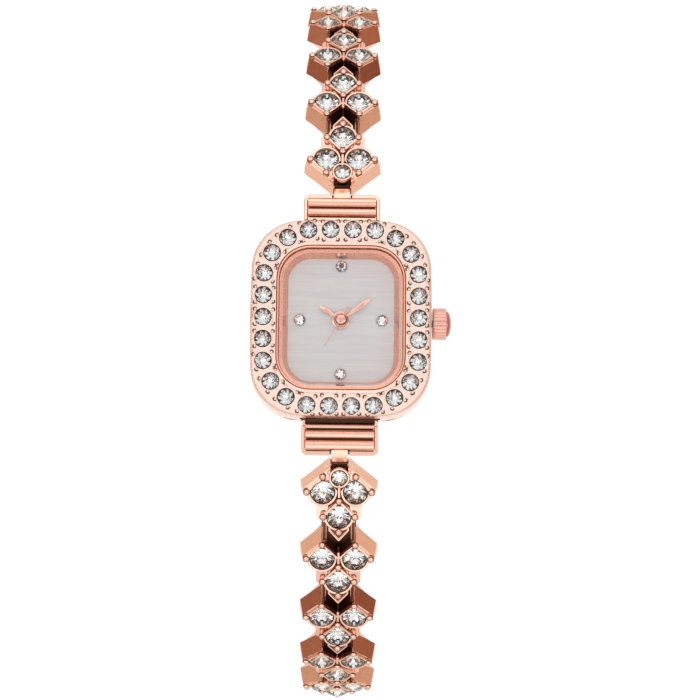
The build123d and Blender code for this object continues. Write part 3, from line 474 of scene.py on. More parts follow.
def brilliant(bm, size, at, turn, pick):
    """Brilliant-cut stone. Faces of the foiled back get material 1, and some, dark as a painted reflection,
    material 2.
    """
    radius = size / 2
    girdle = size * girdle_share
    top = girdle + size * crown_share
    depth = -size * back_share
    table, middle, low = radius * table_share, radius * middle_share, radius * low_share
    eighth = radians(45)
    half = eighth / 2

    def place(reach, angle, z):
        return bm.verts.new((at[0] + reach * cos(angle + turn), at[1] + reach * sin(angle + turn), at[2] + z))

    slope = (girdle - top) / (radius - table)
    middle_level = top + slope * (middle * cos(half) - table)
    low_level = depth - depth * low * cos(half) / radius
    tables = [place(table, eighth * k, top) for k in range(8)]
    mids = [place(middle, eighth * k + half, middle_level) for k in range(8)]
    rim = [place(radius, half * k, girdle) for k in range(16)]
    edge = [place(radius, half * k, 0) for k in range(16)]
    lows = [place(low, eighth * k + half, low_level) for k in range(8)]
    culet = place(0, 0, depth)
    bm.faces.new(tables)
    foiled = []
    for k in range(8):
        after = (2 * k + 2) % 16
        bm.faces.new((tables[k], mids[k], tables[(k + 1) % 8]))
        bm.faces.new((tables[k], mids[k - 1], rim[2 * k], mids[k]))
        bm.faces.new((mids[k], rim[2 * k], rim[2 * k + 1]))
        bm.faces.new((mids[k], rim[2 * k + 1], rim[after]))
        foiled.append(bm.faces.new((culet, lows[k - 1], edge[2 * k], lows[k])))
        foiled.append(bm.faces.new((lows[k], edge[2 * k + 1], edge[2 * k])))
        foiled.append(bm.faces.new((lows[k], edge[after], edge[2 * k + 1])))
    for k in range(16):
        after = (k + 1) % 16
        bm.faces.new((edge[k], edge[after], rim[after], rim[k]))
    for n, face in enumerate(foiled):
        face.material_index = 2 if n % 3 and (n * 7 + pick * 5) % shade_cycle < shaded else 1


def set_stones(name, stones, matrix, body, node):
    """All the stones of one node, each (size, x, y, z), with a dark ring of painted shade in each seat's gap. The
    smallest show their foil all over, some of it dark as a painted reflection.
    """
    bm, edges = bmesh.new(), bmesh.new()
    for n, (size, x, y, z) in enumerate(stones):
        brilliant(bm, size, (x, y, z), turn_step * n, n)
        inner = size / 2 + edge_gap
        outer = inner + wide_edge
        if size < foiled_size:
            outer = inner + fine_edge
            bm.faces.ensure_lookup_table()
            for k, face in enumerate(bm.faces[-stone_faces:]):
                face.material_index = 2 if (k * 5 + n * 3) % shade_cycle < shaded else 1
        section = [(inner, -edge_depth), (inner, 0.0), (outer, edge_rise), (outer, -edge_depth)]
        turned(edges, section, (x, y, z), 32)
    piece = new_piece(name, bm, matrix, body, "clear_stone", node)
    for back in ("stone_foil", "stone_shade"):
        piece.data.materials.append(materials[back])
    new_piece(f"{name}_edges", edges, matrix, body, "rose_gold", tone_or_painted_light="painted_shade_line")


def island_tops(node):
    """Centre, highest level and width of each separate stone of a node, in millimetres."""
    bm = bmesh.new()
    bm.from_mesh(nodes[node].data)
    bmesh.ops.remove_doubles(bm, verts=bm.verts, dist=1e-7)
    left = set(bm.verts)
    found = []
    while left:
        group = [left.pop()]
        for vert in group:
            for edge in vert.link_edges:
                other = edge.other_vert(vert)
                if other in left:
                    left.remove(other)
                    group.append(other)
        lo = [min(v.co[i] for v in group) / mm for i in range(3)]
        hi = [max(v.co[i] for v in group) / mm for i in range(3)]
        found.append(((lo[0] + hi[0]) / 2, (lo[1] + hi[1]) / 2, hi[2], hi[0] - lo[0]))
    bm.free()
    return sorted(found, key=lambda stone: [round(value, 2) for value in stone])


def make_case_stones():
    stones = []
    for x, y, top, size in island_tops("case_stones"):
        size -= seat_gap
        stones.append((size, x, y, top - size * (crown_share + girdle_share)))
    set_stones("case_stones_cut", stones, case_place, "case", "case_stones")


# Bezel: the aperture's width, length and corner, and the band round it

aperture = (16.45, 18.75, 4.2)
band_level, band_step, band_side = 6.38, 0.1, 9
bead_radius, bead_rise, bead_foot = 0.2, 0.17, 0.25
# Dark crescents of painted shade round each bead: radius, thickness and lean
shade_radius, shade_tube, shade_lean = 0.26, 0.1, 0.7
outer_bead, inner_bead = (1.0, 1.02), (0.9, -1.32)
grain_radius, grain_rise, grain_foot = 0.1, 0.07, 0.05
grain_shade_radius, grain_shade_tube = 0.12, 0.045
grain_inset, grain_step, grain_room = 0.75, 0.34, 0.36
lip_foot, lip_level, lip_rise, lip_inner, lip_outer = 6.1, 6.4, 0.16, -0.01, 0.27
line_foot, line_inner, line_middle, line_outer = 6.3, 0.25, 0.3, 0.36


def widened(outside, steps=12):
    """Points round the aperture at a distance outside its edge, counter-clockwise."""
    width, length, corner = (size + grow * outside for size, grow in zip(aperture, (2, 2, 1)))
    places = []
    for n, (sx, sy) in enumerate(((1, 1), (-1, 1), (-1, -1), (1, -1))):
        centre = (sx * (width / 2 - corner), sy * (length / 2 - corner))
        places += arc(centre, corner, 90 * n, 90 * n + 90, steps)
    return places


def framed(bm, section):
    """Section of (distance outside the aperture, level) points carried round the aperture."""
    ring_shell(bm, [[(x, y, z) for x, y in widened(outside)] for outside, z in section], closed=True)


def evenly(places, step):
    """Points at even steps along a closed line."""
    found = []
    left = 0.0
    for (x0, y0), (x1, y1) in zip(places, places[1:] + places[:1]):
        run = hypot(x1 - x0, y1 - y0)
        while left < run:
            share = left / run
            found.append((x0 + (x1 - x0) * share, y0 + (y1 - y0) * share))
            left += step
        left -= run
    return found


def bead(bm, x, y, radius, rise, foot, level, sides=12):
    """Small dome on the band, its foot sunk into it."""
    dome = [(radius * u, rise * v) for u, v in unit_arc(0, 67.5, 3)]
    turned(bm, [(0, -foot), (radius, -foot)] + dome + [(0, rise)], (x, y, level), sides)


def crescent(bm, x, y, radius, tube, facing, level, steps=8, sides=6):
    """Dark crescent of painted shade round the far side of a bead, thinner towards its ends."""
    rings = []
    for k in range(steps + 1):
        a = facing + radians(200) * (k / steps - 0.5)
        thick = tube * (0.35 + 0.65 * sin(pi * k / steps))
        ring = []
        for u, v in unit_arc(0, 360, sides)[:-1]:
            reach = radius + thick * u
            ring.append((x + reach * cos(a), y + reach * sin(a), level + 0.6 * thick * v))
        rings.append(ring)
    ring_shell(bm, rings, capped=True)


def make_bezel_beads():
    """Raised beads round every stone, each with a dark crescent of painted shade, and a fine beaded line inside
    them whose beads get painted shade too.
    """
    ring = [stone for stone in island_tops("case_stones") if stone[3] > foiled_size]
    ring.sort(key=lambda stone: atan2(stone[1], stone[0]))
    beads, painted_bead_shades = bmesh.new(), bmesh.new()
    taken = []
    for n, (x, y, _, _) in enumerate(ring):
        before, after = ring[n - 1], ring[(n + 1) % len(ring)]
        run = hypot(after[0] - before[0], after[1] - before[1])
        along = ((after[0] - before[0]) / run, (after[1] - before[1]) / run)
        out = (along[1], -along[0])
        for side in (1, -1):
            for step, reach in (outer_bead, inner_bead):
                bx = x + along[0] * side * step + out[0] * reach
                by = y + along[1] * side * step + out[1] * reach
                level = band_level + band_step * (reach > 0 or abs(x) > band_side)
                bead(beads, bx, by, bead_radius, bead_rise, bead_foot, level)
                turn, lean = (1 if reach > 0 else -1), side * shade_lean
                facing = atan2(out[1] * turn + along[1] * lean, out[0] * turn + along[0] * lean)
                crescent(painted_bead_shades, bx, by, shade_radius, shade_tube, facing, level)
                taken.append((bx, by))
    for x, y in evenly(widened(grain_inset), grain_step):
        if all(hypot(x - bx, y - by) > grain_room for bx, by in taken):
            bead(beads, x, y, grain_radius, grain_rise, grain_foot, band_level, 8)
            crescent(painted_bead_shades, x, y, grain_shade_radius, grain_shade_tube, atan2(-y, -x), band_level)
    smooth(new_piece("bezel_beads", beads, case_place, "case", "rose_gold", tone_or_painted_light="bezel_gold_painted_highlight"))
    smooth(new_piece("bezel_painted_shades", painted_bead_shades, case_place, "case", "rose_gold", tone_or_painted_light="shadow_brown"))


def make_bezel_lip():
    """Rounded lip round the aperture, and the dark line beyond it, which is painted shade."""
    lip, line = bmesh.new(), bmesh.new()
    middle, half = (lip_inner + lip_outer) / 2, (lip_outer - lip_inner) / 2
    back = [(middle + half * u, lip_level + lip_rise * v) for u, v in unit_arc(150, 30, 4)]
    back = [(lip_inner, lip_level)] + back + [(lip_outer, lip_level)]
    framed(lip, [(lip_inner, lip_foot)] + back + [(lip_outer, lip_foot)])
    smooth(new_piece("bezel_lip", lip, case_place, "case", "ring_gold"))
    # Dark ring beyond the lip: painted shade
    back = [(line_inner, lip_level + 0.1), (line_middle, lip_level + 0.125), (line_outer, lip_level + 0.11)]
    framed(line, [(line_inner, line_foot)] + back + [(line_outer, line_foot)])
    smooth(new_piece("bezel_line", line, case_place, "case", "rose_gold", tone_or_painted_light="painted_shade_line"))


# Hands and crown

hand_rise, hand_edge, hand_tip = 0.11, 0.04, 0.03
neck_share, waist_share = 0.2, 0.76
hub_edge, hub_top, shadow_x, shadow_y = 0.05, 0.14, 0.03, -0.04
second_angle, second_level, second_tip, second_tail = 211, 4.84, 4.3, 2.0
needle_half, needle_tip_half, tail_tip_half, needle_levels = 0.09, 0.04, 0.17, (0.02, 0.1)
crown_start, crown_level = 12.15, 2.3
flutes, flute_foot, flute_rise = 24, 1.98, 0.13
flute_shares = ((0.0, 0.0), (0.12, 0.0), (0.22, 0.72), (0.38, 0.97), (0.56, 1.0), (0.74, 0.97), (0.9, 0.72))
barrel_shares = ((0.0, 0.9), (0.1, 0.985), (0.2, 1.0), (1.65, 1.0), (1.78, 0.985), (1.86, 0.93))


def leaf(bm, reach, neck, waist):
    """Hand along +Y: narrow neck, widest near the tip, ridged along its middle."""
    rings = []
    for half, share in ((neck, 0.0), (neck, neck_share), (waist, waist_share), (hand_tip, 1.0)):
        y = reach * share
        left, right = [(-half, y, 0), (-half, y, hand_edge)], [(half, y, hand_edge), (half, y, 0)]
        rings.append(left + [(0, y, hand_rise)] + right)
    ring_shell(bm, rings, capped=True)


def hub(bm, radius, inner):
    """Disc whose edge slopes up to the next disc."""
    foot = [(0, 0.0), (radius - 0.02, 0.0), (radius, 0.02), (radius, hub_edge)]
    turned(bm, foot + [(inner, hub_top), (0, hub_top)])


def dial_place(level, angle):
    """Place above the dial's centre, turned clockwise by degrees."""
    return Matrix.Translation((0, 0, level * mm)) @ Matrix.Rotation(radians(-angle), 4, "Z")


def make_hands():
    """Three hands, and a dark ring of painted shadow at the step on the hub of each of the lower two."""
    for name, body, angle, reach, neck, waist, level, radius, inner, step in (
        ("hour_hand", "hours", 303, 3.4, 0.15, 0.34, 4.28, 1.17, 1.0, 0.93),
        ("minute_hand", "minutes", 54, 4.86, 0.14, 0.33, 4.56, 0.92, 0.8, 0.64),
    ):
        bm = bmesh.new()
        leaf(bm, reach, neck, waist)
        hub(bm, radius, inner)
        soften(new_piece(f"{name}_leaf", bm, dial_place(level, angle), body, "hand_gold", name), 0.015)
        # Painted shadow: a dark ring at the hub's step, shifted a little down and to the right
        bm = bmesh.new()
        near, far, low, high = step - 0.02, inner - 0.02, hub_top - 0.04, hub_top + 0.015
        turned(bm, [(near, low), (far, low), (far, high), (near, high)])
        place = Matrix.Translation((shadow_x * mm, shadow_y * mm, level * mm))
        new_piece(f"{name}_step", bm, place, body, "hand_gold", tone_or_painted_light="painted_shade_line")
    bm = bmesh.new()
    for tip, half in ((second_tip, needle_tip_half), (-second_tail, tail_tip_half)):
        outline = [(-needle_half, 0), (needle_half, 0), (half, tip), (-half, tip)]
        prism(bm, outline, *needle_levels)
    turned(bm, [(0, 0), (0.62, 0), (0.62, 0.12), (0.5, 0.2), (0, 0.24)])
    place = dial_place(second_level, second_angle)
    soften(new_piece("second_hand_thin", bm, place, "seconds", "hand_gold", "second_hand"), 0.012)


def make_crown():
    """Crown: rounded flutes and a domed end."""
    outline = []
    for n in range(flutes):
        for share, lift in flute_shares:
            a = 2 * pi * (n + share) / flutes
            reach = flute_foot + flute_rise * lift
            outline.append((reach * cos(a), reach * sin(a)))
    place = Matrix.Translation((crown_start * mm, 0, crown_level * mm)) @ Matrix.Rotation(radians(90), 4, "Y")
    bm = bmesh.new()
    rings = [[(u * share, v * share, x) for u, v in outline] for x, share in barrel_shares]
    ring_shell(bm, rings, capped=True)
    barrel = new_piece("crown_barrel", bm, place, "crown_and_stem", "rose_gold", "crown", tone_or_painted_light="crown_gold")
    soften(barrel, 0.02)
    bm = bmesh.new()
    foot = [(0, 1.7), (1.66, 1.7), (1.74, 1.84)]
    dome = [(1.72 * u, 1.9 + 0.62 * v) for u, v in unit_arc(10, 80, 7)]
    turned(bm, foot + dome + [(0, 2.52)])
    smooth(new_piece("crown_dome", bm, place, "crown_and_stem", "rose_gold", tone_or_painted_light="dome_gold"))


# Bracelet: sizes of the solids and of the forms drawn over them, in each link's own frame

link_stone, small_stone, small_rim = 3.1, 2.0, 1.42
row_half, centre_step, small_back = 2.19, 3.45, 1.96
stone_places = ((-row_half, 0), (row_half, 0), (0, centre_step))
hinge_drop, hinge_radius, pin_radius = 1.9, 0.9, 0.3
hinge_back, hinge_front, strap_pin_back = 6.2, 3.3, 3.2
link_half_width, arm_inner, arm_outer, tail_half = 5.05, 1.64, 2.14, 1.5
apex_half, cheek_width, wing_tip, wing_reach = 1.2, 0.65, 2.3, 3.85
cup_rim, cup_corner, cup_depth, middle_cup_depth = 2.02, 2.25, 1.7, 0.85
cup_shares = ((0.0, -0.06), (0.12, 0.02), (0.3, 0.05), (0.7, 0.05), (0.92, -0.03), (1.0, -0.16))
prong_radius, prong_step, prong_top, prong_overlap = 0.42, 2.12, 0.45, 0.05
prong_neck_share, prong_bulge_share, prong_start_share = 0.86, 0.95, 0.55
rail_foot, shoulder_inner, shoulder_half, shoulder_foot = -0.5, 1.6, 2.98, -0.66
point_half, point_back, point_shoulder, point_tip = 1.3, 4.85, 5.45, 6.9
wing_inset, wing_wall, link_edge, pin_sides = 0.6, 0.65, 0.06, 20
wing_end, wing_side = (4.8, 0.12, -0.2), (4.75, -0.4, -0.15)
foot_end, under_end = (5.12, -0.25, -1.5), (4.6, 0.0, -2.2)
wing_top, foot_level = -0.15, -2.3
pivots = {joint["child"]: Vector(joint["pos_m"]) for joint in frame["joints"] if joint.get("pos_m")}


def hinge_frame(body, along, side):
    """Frame at a piece's own hinge: across, along the bracelet, and out."""
    across = Vector((side, 0, 0))
    turn = Matrix((across, along, across.cross(along))).transposed().to_4x4()
    return Matrix.Translation(pivots[body]) @ turn


def bracelet_frame(body, following, side):
    return hinge_frame(body, (pivots[following] - pivots[body]).normalized(), side)


def cup(bm, x, y, size, rim, depth, corner, lift=0.0, sides=64):
    """Cup round a stone: a round polished rim, and a pointed plate on the case side if it has a corner."""
    seat = size / 2 + seat_gap

    def ring(share, z):
        places = []
        for u, v in unit_arc(0, 360, sides)[:-1]:
            reach = rim
            if v < 0 and corner:
                reach = max(seat + 0.08, corner / (abs(u) + abs(v)))
            r = seat + (reach - seat) * share
            places.append((x + r * u, y + r * v, z))
        return places

    top = [ring(share, lift + z) for share, z in cup_shares]
    ring_shell(bm, [ring(0.0, -depth)] + top + [ring(1.0, -depth)], closed=True)


def prong(bm, x, y, radius, low, high):
    """Post with a bead for a head, a little wider than its neck."""
    neck, bulge = radius * prong_neck_share, radius * prong_bulge_share
    centre = high - bulge
    post = [(0, low), (neck, low), (neck, centre - radius * prong_start_share)]
    head = [(radius * u, centre + bulge * v) for u, v in unit_arc(-36, 72, 6)]
    turned(bm, post + head + [(0, high)], (x, y, 0), pin_sides)


def rail(bm, start, end, half, low, high):
    """Straight bar with a rounded back between two prongs."""
    run = hypot(end[0] - start[0], end[1] - start[1])
    across = ((start[1] - end[1]) / run, (end[0] - start[0]) / run)
    rise = half * 0.7
    back = [(half * u, high - rise + rise * v) for u, v in unit_arc(135, 45, 2)]
    section = [(-half, low), (-half, high - rise)] + back + [(half, high - rise), (half, low)]
    rings = [[(x + across[0] * u, y + across[1] * u, z) for u, z in section] for x, y in (start, end)]
    ring_shell(bm, rings, capped=True)


def prong_places():
    """Places of the prongs round the outer stones, and of those round the middle one alone."""
    side = row_half + prong_step
    shared = (0, centre_step - prong_step - prong_overlap)
    outer = [shared, (side, 0), (-side, 0), (row_half, -prong_step), (-row_half, -prong_step)]
    middle = [(prong_step, centre_step), (-prong_step, centre_step), (0, centre_step + prong_step)]
    return outer, middle


def pointed(half, back, shoulder, tip):
    """Outline of the plate that ends in a point over the next link."""
    return [(half, back), (half, shoulder), (0, tip), (-half, shoulder), (-half, back)]


def add_wings(bm, upper, foot, under):
    """Walls that lean outwards from the plate's edge to their foot, thinner towards the sides."""
    rows = []
    for row in (under, foot, upper):
        last = len(row) - 1
        inner = []
        for n, (x, y, z) in enumerate(row):
            inner.append((x - wing_inset * (n < last), y + wing_wall * (n > 0), z))
        rows.append(row + inner[::-1])
    for turn in (1, -1):
        ring_shell(bm, [[(turn * x, y, z) for x, y, z in row] for row in rows], capped=True)


def add_shoulders(bm):
    """Plates beside the middle stone, whose tops slope away from it."""
    inner, outer = shoulder_inner, shoulder_half
    outline = [(inner, 1.7), (outer - 0.25, 1.7), (outer, 2.0), (outer, 3.75), (outer - 0.4, 4.2)]
    outline.append((inner, 4.2))
    for places in (outline, mirrored(outline)):
        foot = [(x, y, shoulder_foot) for x, y in places]
        top = [(x, y, 0.1 - 0.12 * abs(x) - 0.11 * y) for x, y in places]
        ring_shell(bm, [foot, top], capped=True)


def add_point(bm):
    """Pointed plate with a raised rim."""
    rim = point_half - 0.05
    prism(bm, pointed(point_half, point_back, point_shoulder, point_tip), -0.95, -0.35)
    for turn in (1, -1):
        rail(bm, (turn * rim, point_shoulder), (0, point_tip - 0.06), 0.1, rail_foot, -0.2)
        rail(bm, (turn * rim, point_shoulder), (turn * rim, point_back + 0.1), 0.1, rail_foot, -0.2)


def add_settings(bm, tail):
    """What every link has: three cups, the plate under them, the hinge tail, prongs and rails."""
    plate_top = -1.28
    for (x, y), depth in zip(stone_places, (cup_depth, cup_depth, middle_cup_depth)):
        cup(bm, x, y, link_stone, cup_rim, depth, cup_corner)
    prism(bm, tail, -cup_depth - 0.15, plate_top)
    middle_bar(bm, 0.13, -0.95, 0.75, -cup_depth, 0.04)
    prong(bm, 0, -0.85, 0.2, -cup_depth, 0.2)
    rounded_rod(bm, hinge_radius, -tail_half, tail_half, hinge_front, -hinge_drop)
    tail_run = (hinge_front - hinge_radius, hinge_front + hinge_radius)
    middle_bar(bm, tail_half, *tail_run, -hinge_drop, plate_top - 0.02)
    add_shoulders(bm)
    add_point(bm)
    outer, middle = prong_places()
    for turn in (1, -1):
        rail(bm, (turn * (row_half + prong_step), 0), (turn * row_half, -prong_step), 0.22, rail_foot, 0.12)
        rail(bm, (turn * prong_step, centre_step), outer[0], 0.2, rail_foot, 0.14)
    for places, low in ((outer, -cup_depth), (middle, -0.75)):
        for x, y in places:
            prong(bm, x, y, prong_radius, low, prong_top)


def tail_outline(front):
    """Plate's outline: its front edge from the middle to the right, its back edge, and both mirrored."""
    back = [(row_half + 0.3, 1.4), (tail_half, 2.2), (tail_half, centre_step + 0.7), (0, centre_step + 2.0)]
    right = front + back
    return right + [(x, y) for x, y in mirrored(right) if x < 0]


def add_shadows(bm):
    """Dark faces of painted shade deep between the stones, round the prongs and on the pointed plate, and of a
    painted dark reflection on the prongs' tops.
    """
    prism(bm, [(-0.5, 0.3), (0, -0.4), (0.5, 0.3), (1.2, 1.7), (0, 1.7), (-1.2, 1.7)], -1.2, -0.38)
    outer, middle = prong_places()
    low, high, near, far = prong_top - 0.03, prong_top + 0.015, prong_radius - 0.06, prong_radius + 0.05
    for x, y in outer + middle:
        turned(bm, [(0, low), (0.075, low), (0.05, high - 0.003), (0, high)], (x, y, 0), 10)
        turned(bm, [(near, 0.0), (far, 0.0), (far, 0.15), (near, 0.17)], (x, y, 0), pin_sides)
    face = pointed(point_half - 0.2, point_back + 0.1, point_shoulder - 0.05, point_tip - 0.3)
    prism(bm, face, -0.45, -0.33)


def add_link(bm, shadows):
    """Plain link: wings and two arms reach back to the hinge of the link before."""
    under, notch, pin_y, arm_top = -2.95, 0.5, -hinge_back, -1.25
    front = [(0, -0.2), (row_half, -1.9), (wing_tip, -2.5), (link_half_width - 0.3, -0.2)]
    add_settings(bm, tail_outline(front))
    add_wings(
        bm,
        [wing_end, wing_side, (wing_tip, -2.55, wing_top)],
        [foot_end, (5.15, -1.29, -2.2), (wing_tip, -wing_reach, foot_level)],
        [under_end, (4.6, -1.1, -2.6), (wing_tip, 0.1 - wing_reach, -3.15)],
    )
    middle_bar(bm, wing_tip + 0.05, pin_y + 1.2, notch, under, -2.78)
    middle_bar(bm, wing_tip, 0.1, notch, under + 0.05, -1.6)
    side_bars(bm, arm_outer - 0.05, wing_tip + 0.04, 0.1 - wing_reach, 0.45, under + 0.05, -2.1)
    arm = arc((pin_y, -hinge_drop), hinge_radius, 90, 270, 12)
    arm += [(-1.6, -hinge_drop - hinge_radius), (-1.6, arm_top), (pin_y + 1.3, arm_top), (pin_y + 0.4, -1.05)]
    for side in (1, -1):
        swept(bm, arm, side * arm_inner, side * arm_outer)
        head = (side * (arm_outer - 0.2), side * (arm_outer + 0.06))
        rounded_rod(bm, pin_radius, *head, pin_y, -hinge_drop, pin_sides)
        rail(bm, (side * row_half, -prong_step), (side * 0.12, -0.12), 0.14, rail_foot, 0.08)
        post = [(0, -2.8), (0.36, -2.8), (0.36, -0.3), (0, -0.3)]
        turned(bm, post, (side * row_half, -prong_step, 0), pin_sides)
    # Painted shade under the wings, on the walls between the stones and on the arms' tops
    middle_bar(shadows, wing_tip - 0.02, pin_y + 1.25, 0.1, -2.8, -2.74)
    wall = [(0.05, -0.34), (row_half, -prong_step - 0.32), (row_half, -prong_step), (0.05, 0)]
    for outline in (wall, mirrored(wall)):
        prism(shadows, outline, -2.6, -0.42)
    side_bars(shadows, arm_inner + 0.08, arm_outer - 0.03, pin_y + 1.3, -2.0, -1.3, -1.22)


def add_first_link(bm, shadows):
    """First link, whose pointed side holds the strap and a fourth, smaller stone."""
    under, pocket = -3.05, (-3.7, -1.0)
    front = [(0, -2.3), (apex_half, -2.3), (apex_half, -3.3), (2.3, -2.6), (link_half_width - 0.3, -0.2)]
    add_settings(bm, tail_outline(front))
    add_wings(
        bm,
        [wing_end, wing_side, (2.35, -2.45, wing_top), (apex_half, -3.42, wing_top)],
        [foot_end, (5.15, -1.0, -2.2), (2.7, -2.95, foot_level), (apex_half, -4.2, foot_level)],
        [under_end, (4.6, -0.9, -2.6), (2.6, -2.8, -3.0), (apex_half, -4.1, -3.1)],
    )
    fill = [(1.2, -1.3), (2.6, -2.0), (2.2, -2.6), (1.4, -3.0), (1.05, -2.4)]
    for outline in (fill, mirrored(fill)):
        prism(bm, outline, -cup_depth, -0.3)
    side_bars(bm, apex_half, apex_half + cheek_width, -3.4, -2.0, -hinge_drop - hinge_radius, -1.0)
    cup(bm, 0, -small_back, small_stone, small_rim, 0.95, None, 0.03)
    rounded_rod(bm, pin_radius, -apex_half, apex_half, -strap_pin_back, -hinge_drop, pin_sides)
    middle_bar(bm, apex_half + 0.3, *pocket, under, under + 0.15)
    side_bars(bm, apex_half + 0.02, apex_half + 0.28, pocket[0] + 0.02, pocket[1] - 0.02, under + 0.05, -2.1)
    for side in (1, -1):
        prong(bm, side * 1.36, -small_back - 0.8, 0.28, -0.95, 0.3)
    # Painted shade on the floor of the pocket under the cheeks
    middle_bar(shadows, apex_half - 0.02, pocket[0] + 0.05, pocket[1] - 0.1, under + 0.13, under + 0.2)


def make_bracelet_side(word, side, last):
    """Six links on one side of the case, the first of its own kind."""
    chain = [f"{word}_link_{n}" for n in range(1, 7)]
    for body, following in zip(chain, chain[1:] + [last]):
        bm, shadows = bmesh.new(), bmesh.new()
        add_shadows(shadows)
        stones = [(link_stone, x, y, 0) for x, y in stone_places]
        back = hinge_back
        if body == chain[0]:
            add_first_link(bm, shadows)
            stones.append((small_stone, 0, -small_back, 0))
            back = strap_pin_back
        else:
            add_link(bm, shadows)
        matrix = bracelet_frame(body, following, side) @ Matrix.Translation((0, back * mm, hinge_drop * mm))
        soften(new_piece(f"{body}_set", bm, matrix, body, "rose_gold", f"{body}_frame"), link_edge)
        new_piece(f"{body}_set_shadows", shadows, matrix, body, "rose_gold", tone_or_painted_light="shadow_brown")
        set_stones(f"{body}_cut", stones, matrix, body, f"{body}_stones")


# End links and their straps

end_half, end_frame_half, end_foot, end_level = 4.55, 5.12, -0.9, 0.2
groove_half, end_slot, strap_half = 4.45, 1.28, 1.08
# A ridge's middle, half width, foot and top, and the start, end, foot and top of a dark bar of painted shade in a
# groove
ridges = ((2.14, 0.56, 0.6, 1.22), (3.6, 0.7, 0.5, 1.3))
groove_shades = ((1.42, 1.56, 0.55, 0.7), (2.66, 2.94, 0.5, 0.8), (4.26, 4.44, 0.2, 0.44))


def ridge(middle, half, foot, rise):
    """Rounded back of a ridge between two grooves, as (y, z) points."""
    return [(middle + half * u, foot + (rise - foot) * v ** 0.8) for u, v in unit_arc(172, 4, 14)]


def make_end_link(name, body, following, side):
    """End link: two ridges in a frame with rounded corners, and painted shade in each groove between them."""
    matrix = bracelet_frame(body, following, side)
    bm = bmesh.new()
    profile = arc((0, 0), 0.95, 270, 40, 12)
    profile += [(0.8, 0.4), (0.84, 0.8), (1.0, 0.92), (1.34, 0.9), (1.42, 0.66), (1.56, 0.66)]
    for sizes in ridges:
        profile += ridge(*sizes)
    swept(bm, profile + [(4.34, end_level), (4.34, end_foot), (1.05, end_foot)], -end_half, end_half)
    soften(new_piece(name, bm, matrix, body, "rose_gold", body), 0.1, 3)
    bm = bmesh.new()
    right = [(4.95, end_level), (5.1, 1.4), (end_frame_half, 4.1), (4.98, 4.65), (4.6, 4.98)]
    right += [(end_slot, 5.0), (end_slot, 4.3), (4.5, 4.3), (4.5, end_level)]
    for outline in (right, mirrored(right)):
        prism(bm, outline, end_foot, 0.36)
    side_bars(bm, 4.6, end_frame_half - 0.06, 1.05, 4.1, end_level, 0.72)
    soften(new_piece(f"{name}_frame", bm, matrix, body, "rose_gold"), 0.14, 3)
    # Painted shade: a dark shell over the knuckle, dark bars in each groove and beside the slot
    bm = bmesh.new()
    shell = arc((0, 0), 0.96, 130, 38, 8) + arc((0, 0), 1.02, 38, 130, 8)
    swept(bm, shell, -end_half - 0.05, end_half + 0.05)
    for sizes in groove_shades:
        middle_bar(bm, groove_half, *sizes)
    side_bars(bm, end_slot - 0.14, end_slot + 0.02, 4.35, 4.85, -0.1, 0.38)
    new_piece(f"{name}_grooves", bm, matrix, body, "rose_gold", tone_or_painted_light="painted_shade_line")


def make_connector(name, body, following, side):
    """Strap between an end link and the first link, its far end turned down round its pin."""
    matrix = bracelet_frame(body, following, side)
    bm = bmesh.new()
    profile = arc((0, 0), 0.7, 270, 90, 12) + [(1.5, 0.7), (1.72, 0.6), (1.8, 0.4)]
    swept(bm, profile + arc((2.3, 0), 0.6, 120, -90, 12), -strap_half, strap_half)
    soften(new_piece(name, bm, matrix, body, "rose_gold", body), 0.07)
    # Painted shade: a dark plate where the strap turns down under the first link
    bm = bmesh.new()
    upper = [(1.6, 0.72), (1.74, 0.64), (1.84, 0.42), (2.1, 0.62), (2.3, 0.66)]
    swept(bm, upper + [(2.3, 0.6), (1.8, 0.2), (1.6, 0.5)], 0.02 - strap_half, strap_half - 0.02)
    new_piece(f"{name}_shadow", bm, matrix, body, "rose_gold", tone_or_painted_light="painted_shade_line")


# Clasp

clasp_half, clasp_start, clasp_length, clasp_floor = 3.0, 3.6, 19.2, 0.6
clasp_end, cover_half = clasp_length - 0.8, clasp_half + 0.5
clasp_arm_inner, clasp_arm_outer = 2.35, 3.0
knuckle_half, knuckle_rise, knuckle_radius, knuckle_pin, knuckle_sides = 1.4, 0.35, 0.7, 0.25, 28
ladder_length, ladder_start, ladder_bars, ladder_bar_radius = 16.0, 4.4, 5, 0.4
hook_half, hook_foot, hook_top = 1.0, -0.1, 0.5
base_ribs, base_rib_half, base_rib_width = (10.6, 12.4, 14.2), 2.0, 0.5
cover_start, cover_rise, cover_thick, cover_crown = 4.6, 0.75, 0.5, 0.08
cover_skirt, cover_wall = -0.2, 0.4
cover_ribs, cover_rib_half, cover_rib_width = (0.5, 1.0, 1.5), 1.6, 0.2
ladder_tilt, clasp_tilt, clasp_edge = radians(102), radians(114), 0.1


def tilted_frame(body, tilt, side):
    """Frame of a clasp piece at its hinge, tilted down from the dial's plane."""
    return hinge_frame(body, Vector((0, side * cos(tilt), -sin(tilt))), side)


def add_clasp_arms(bm, length):
    """Arms with round ends about the hinge, and the pin's heads on them."""
    arm = arc((0, 0), hinge_radius, 60, 300, 20) + [(length, -clasp_floor), (length, clasp_floor)]
    for side in (1, -1):
        swept(bm, arm, side * clasp_arm_inner, side * clasp_arm_outer)
    rounded_rod(bm, pin_radius, -clasp_arm_outer - 0.05, clasp_arm_outer + 0.05, 0, 0, pin_sides)


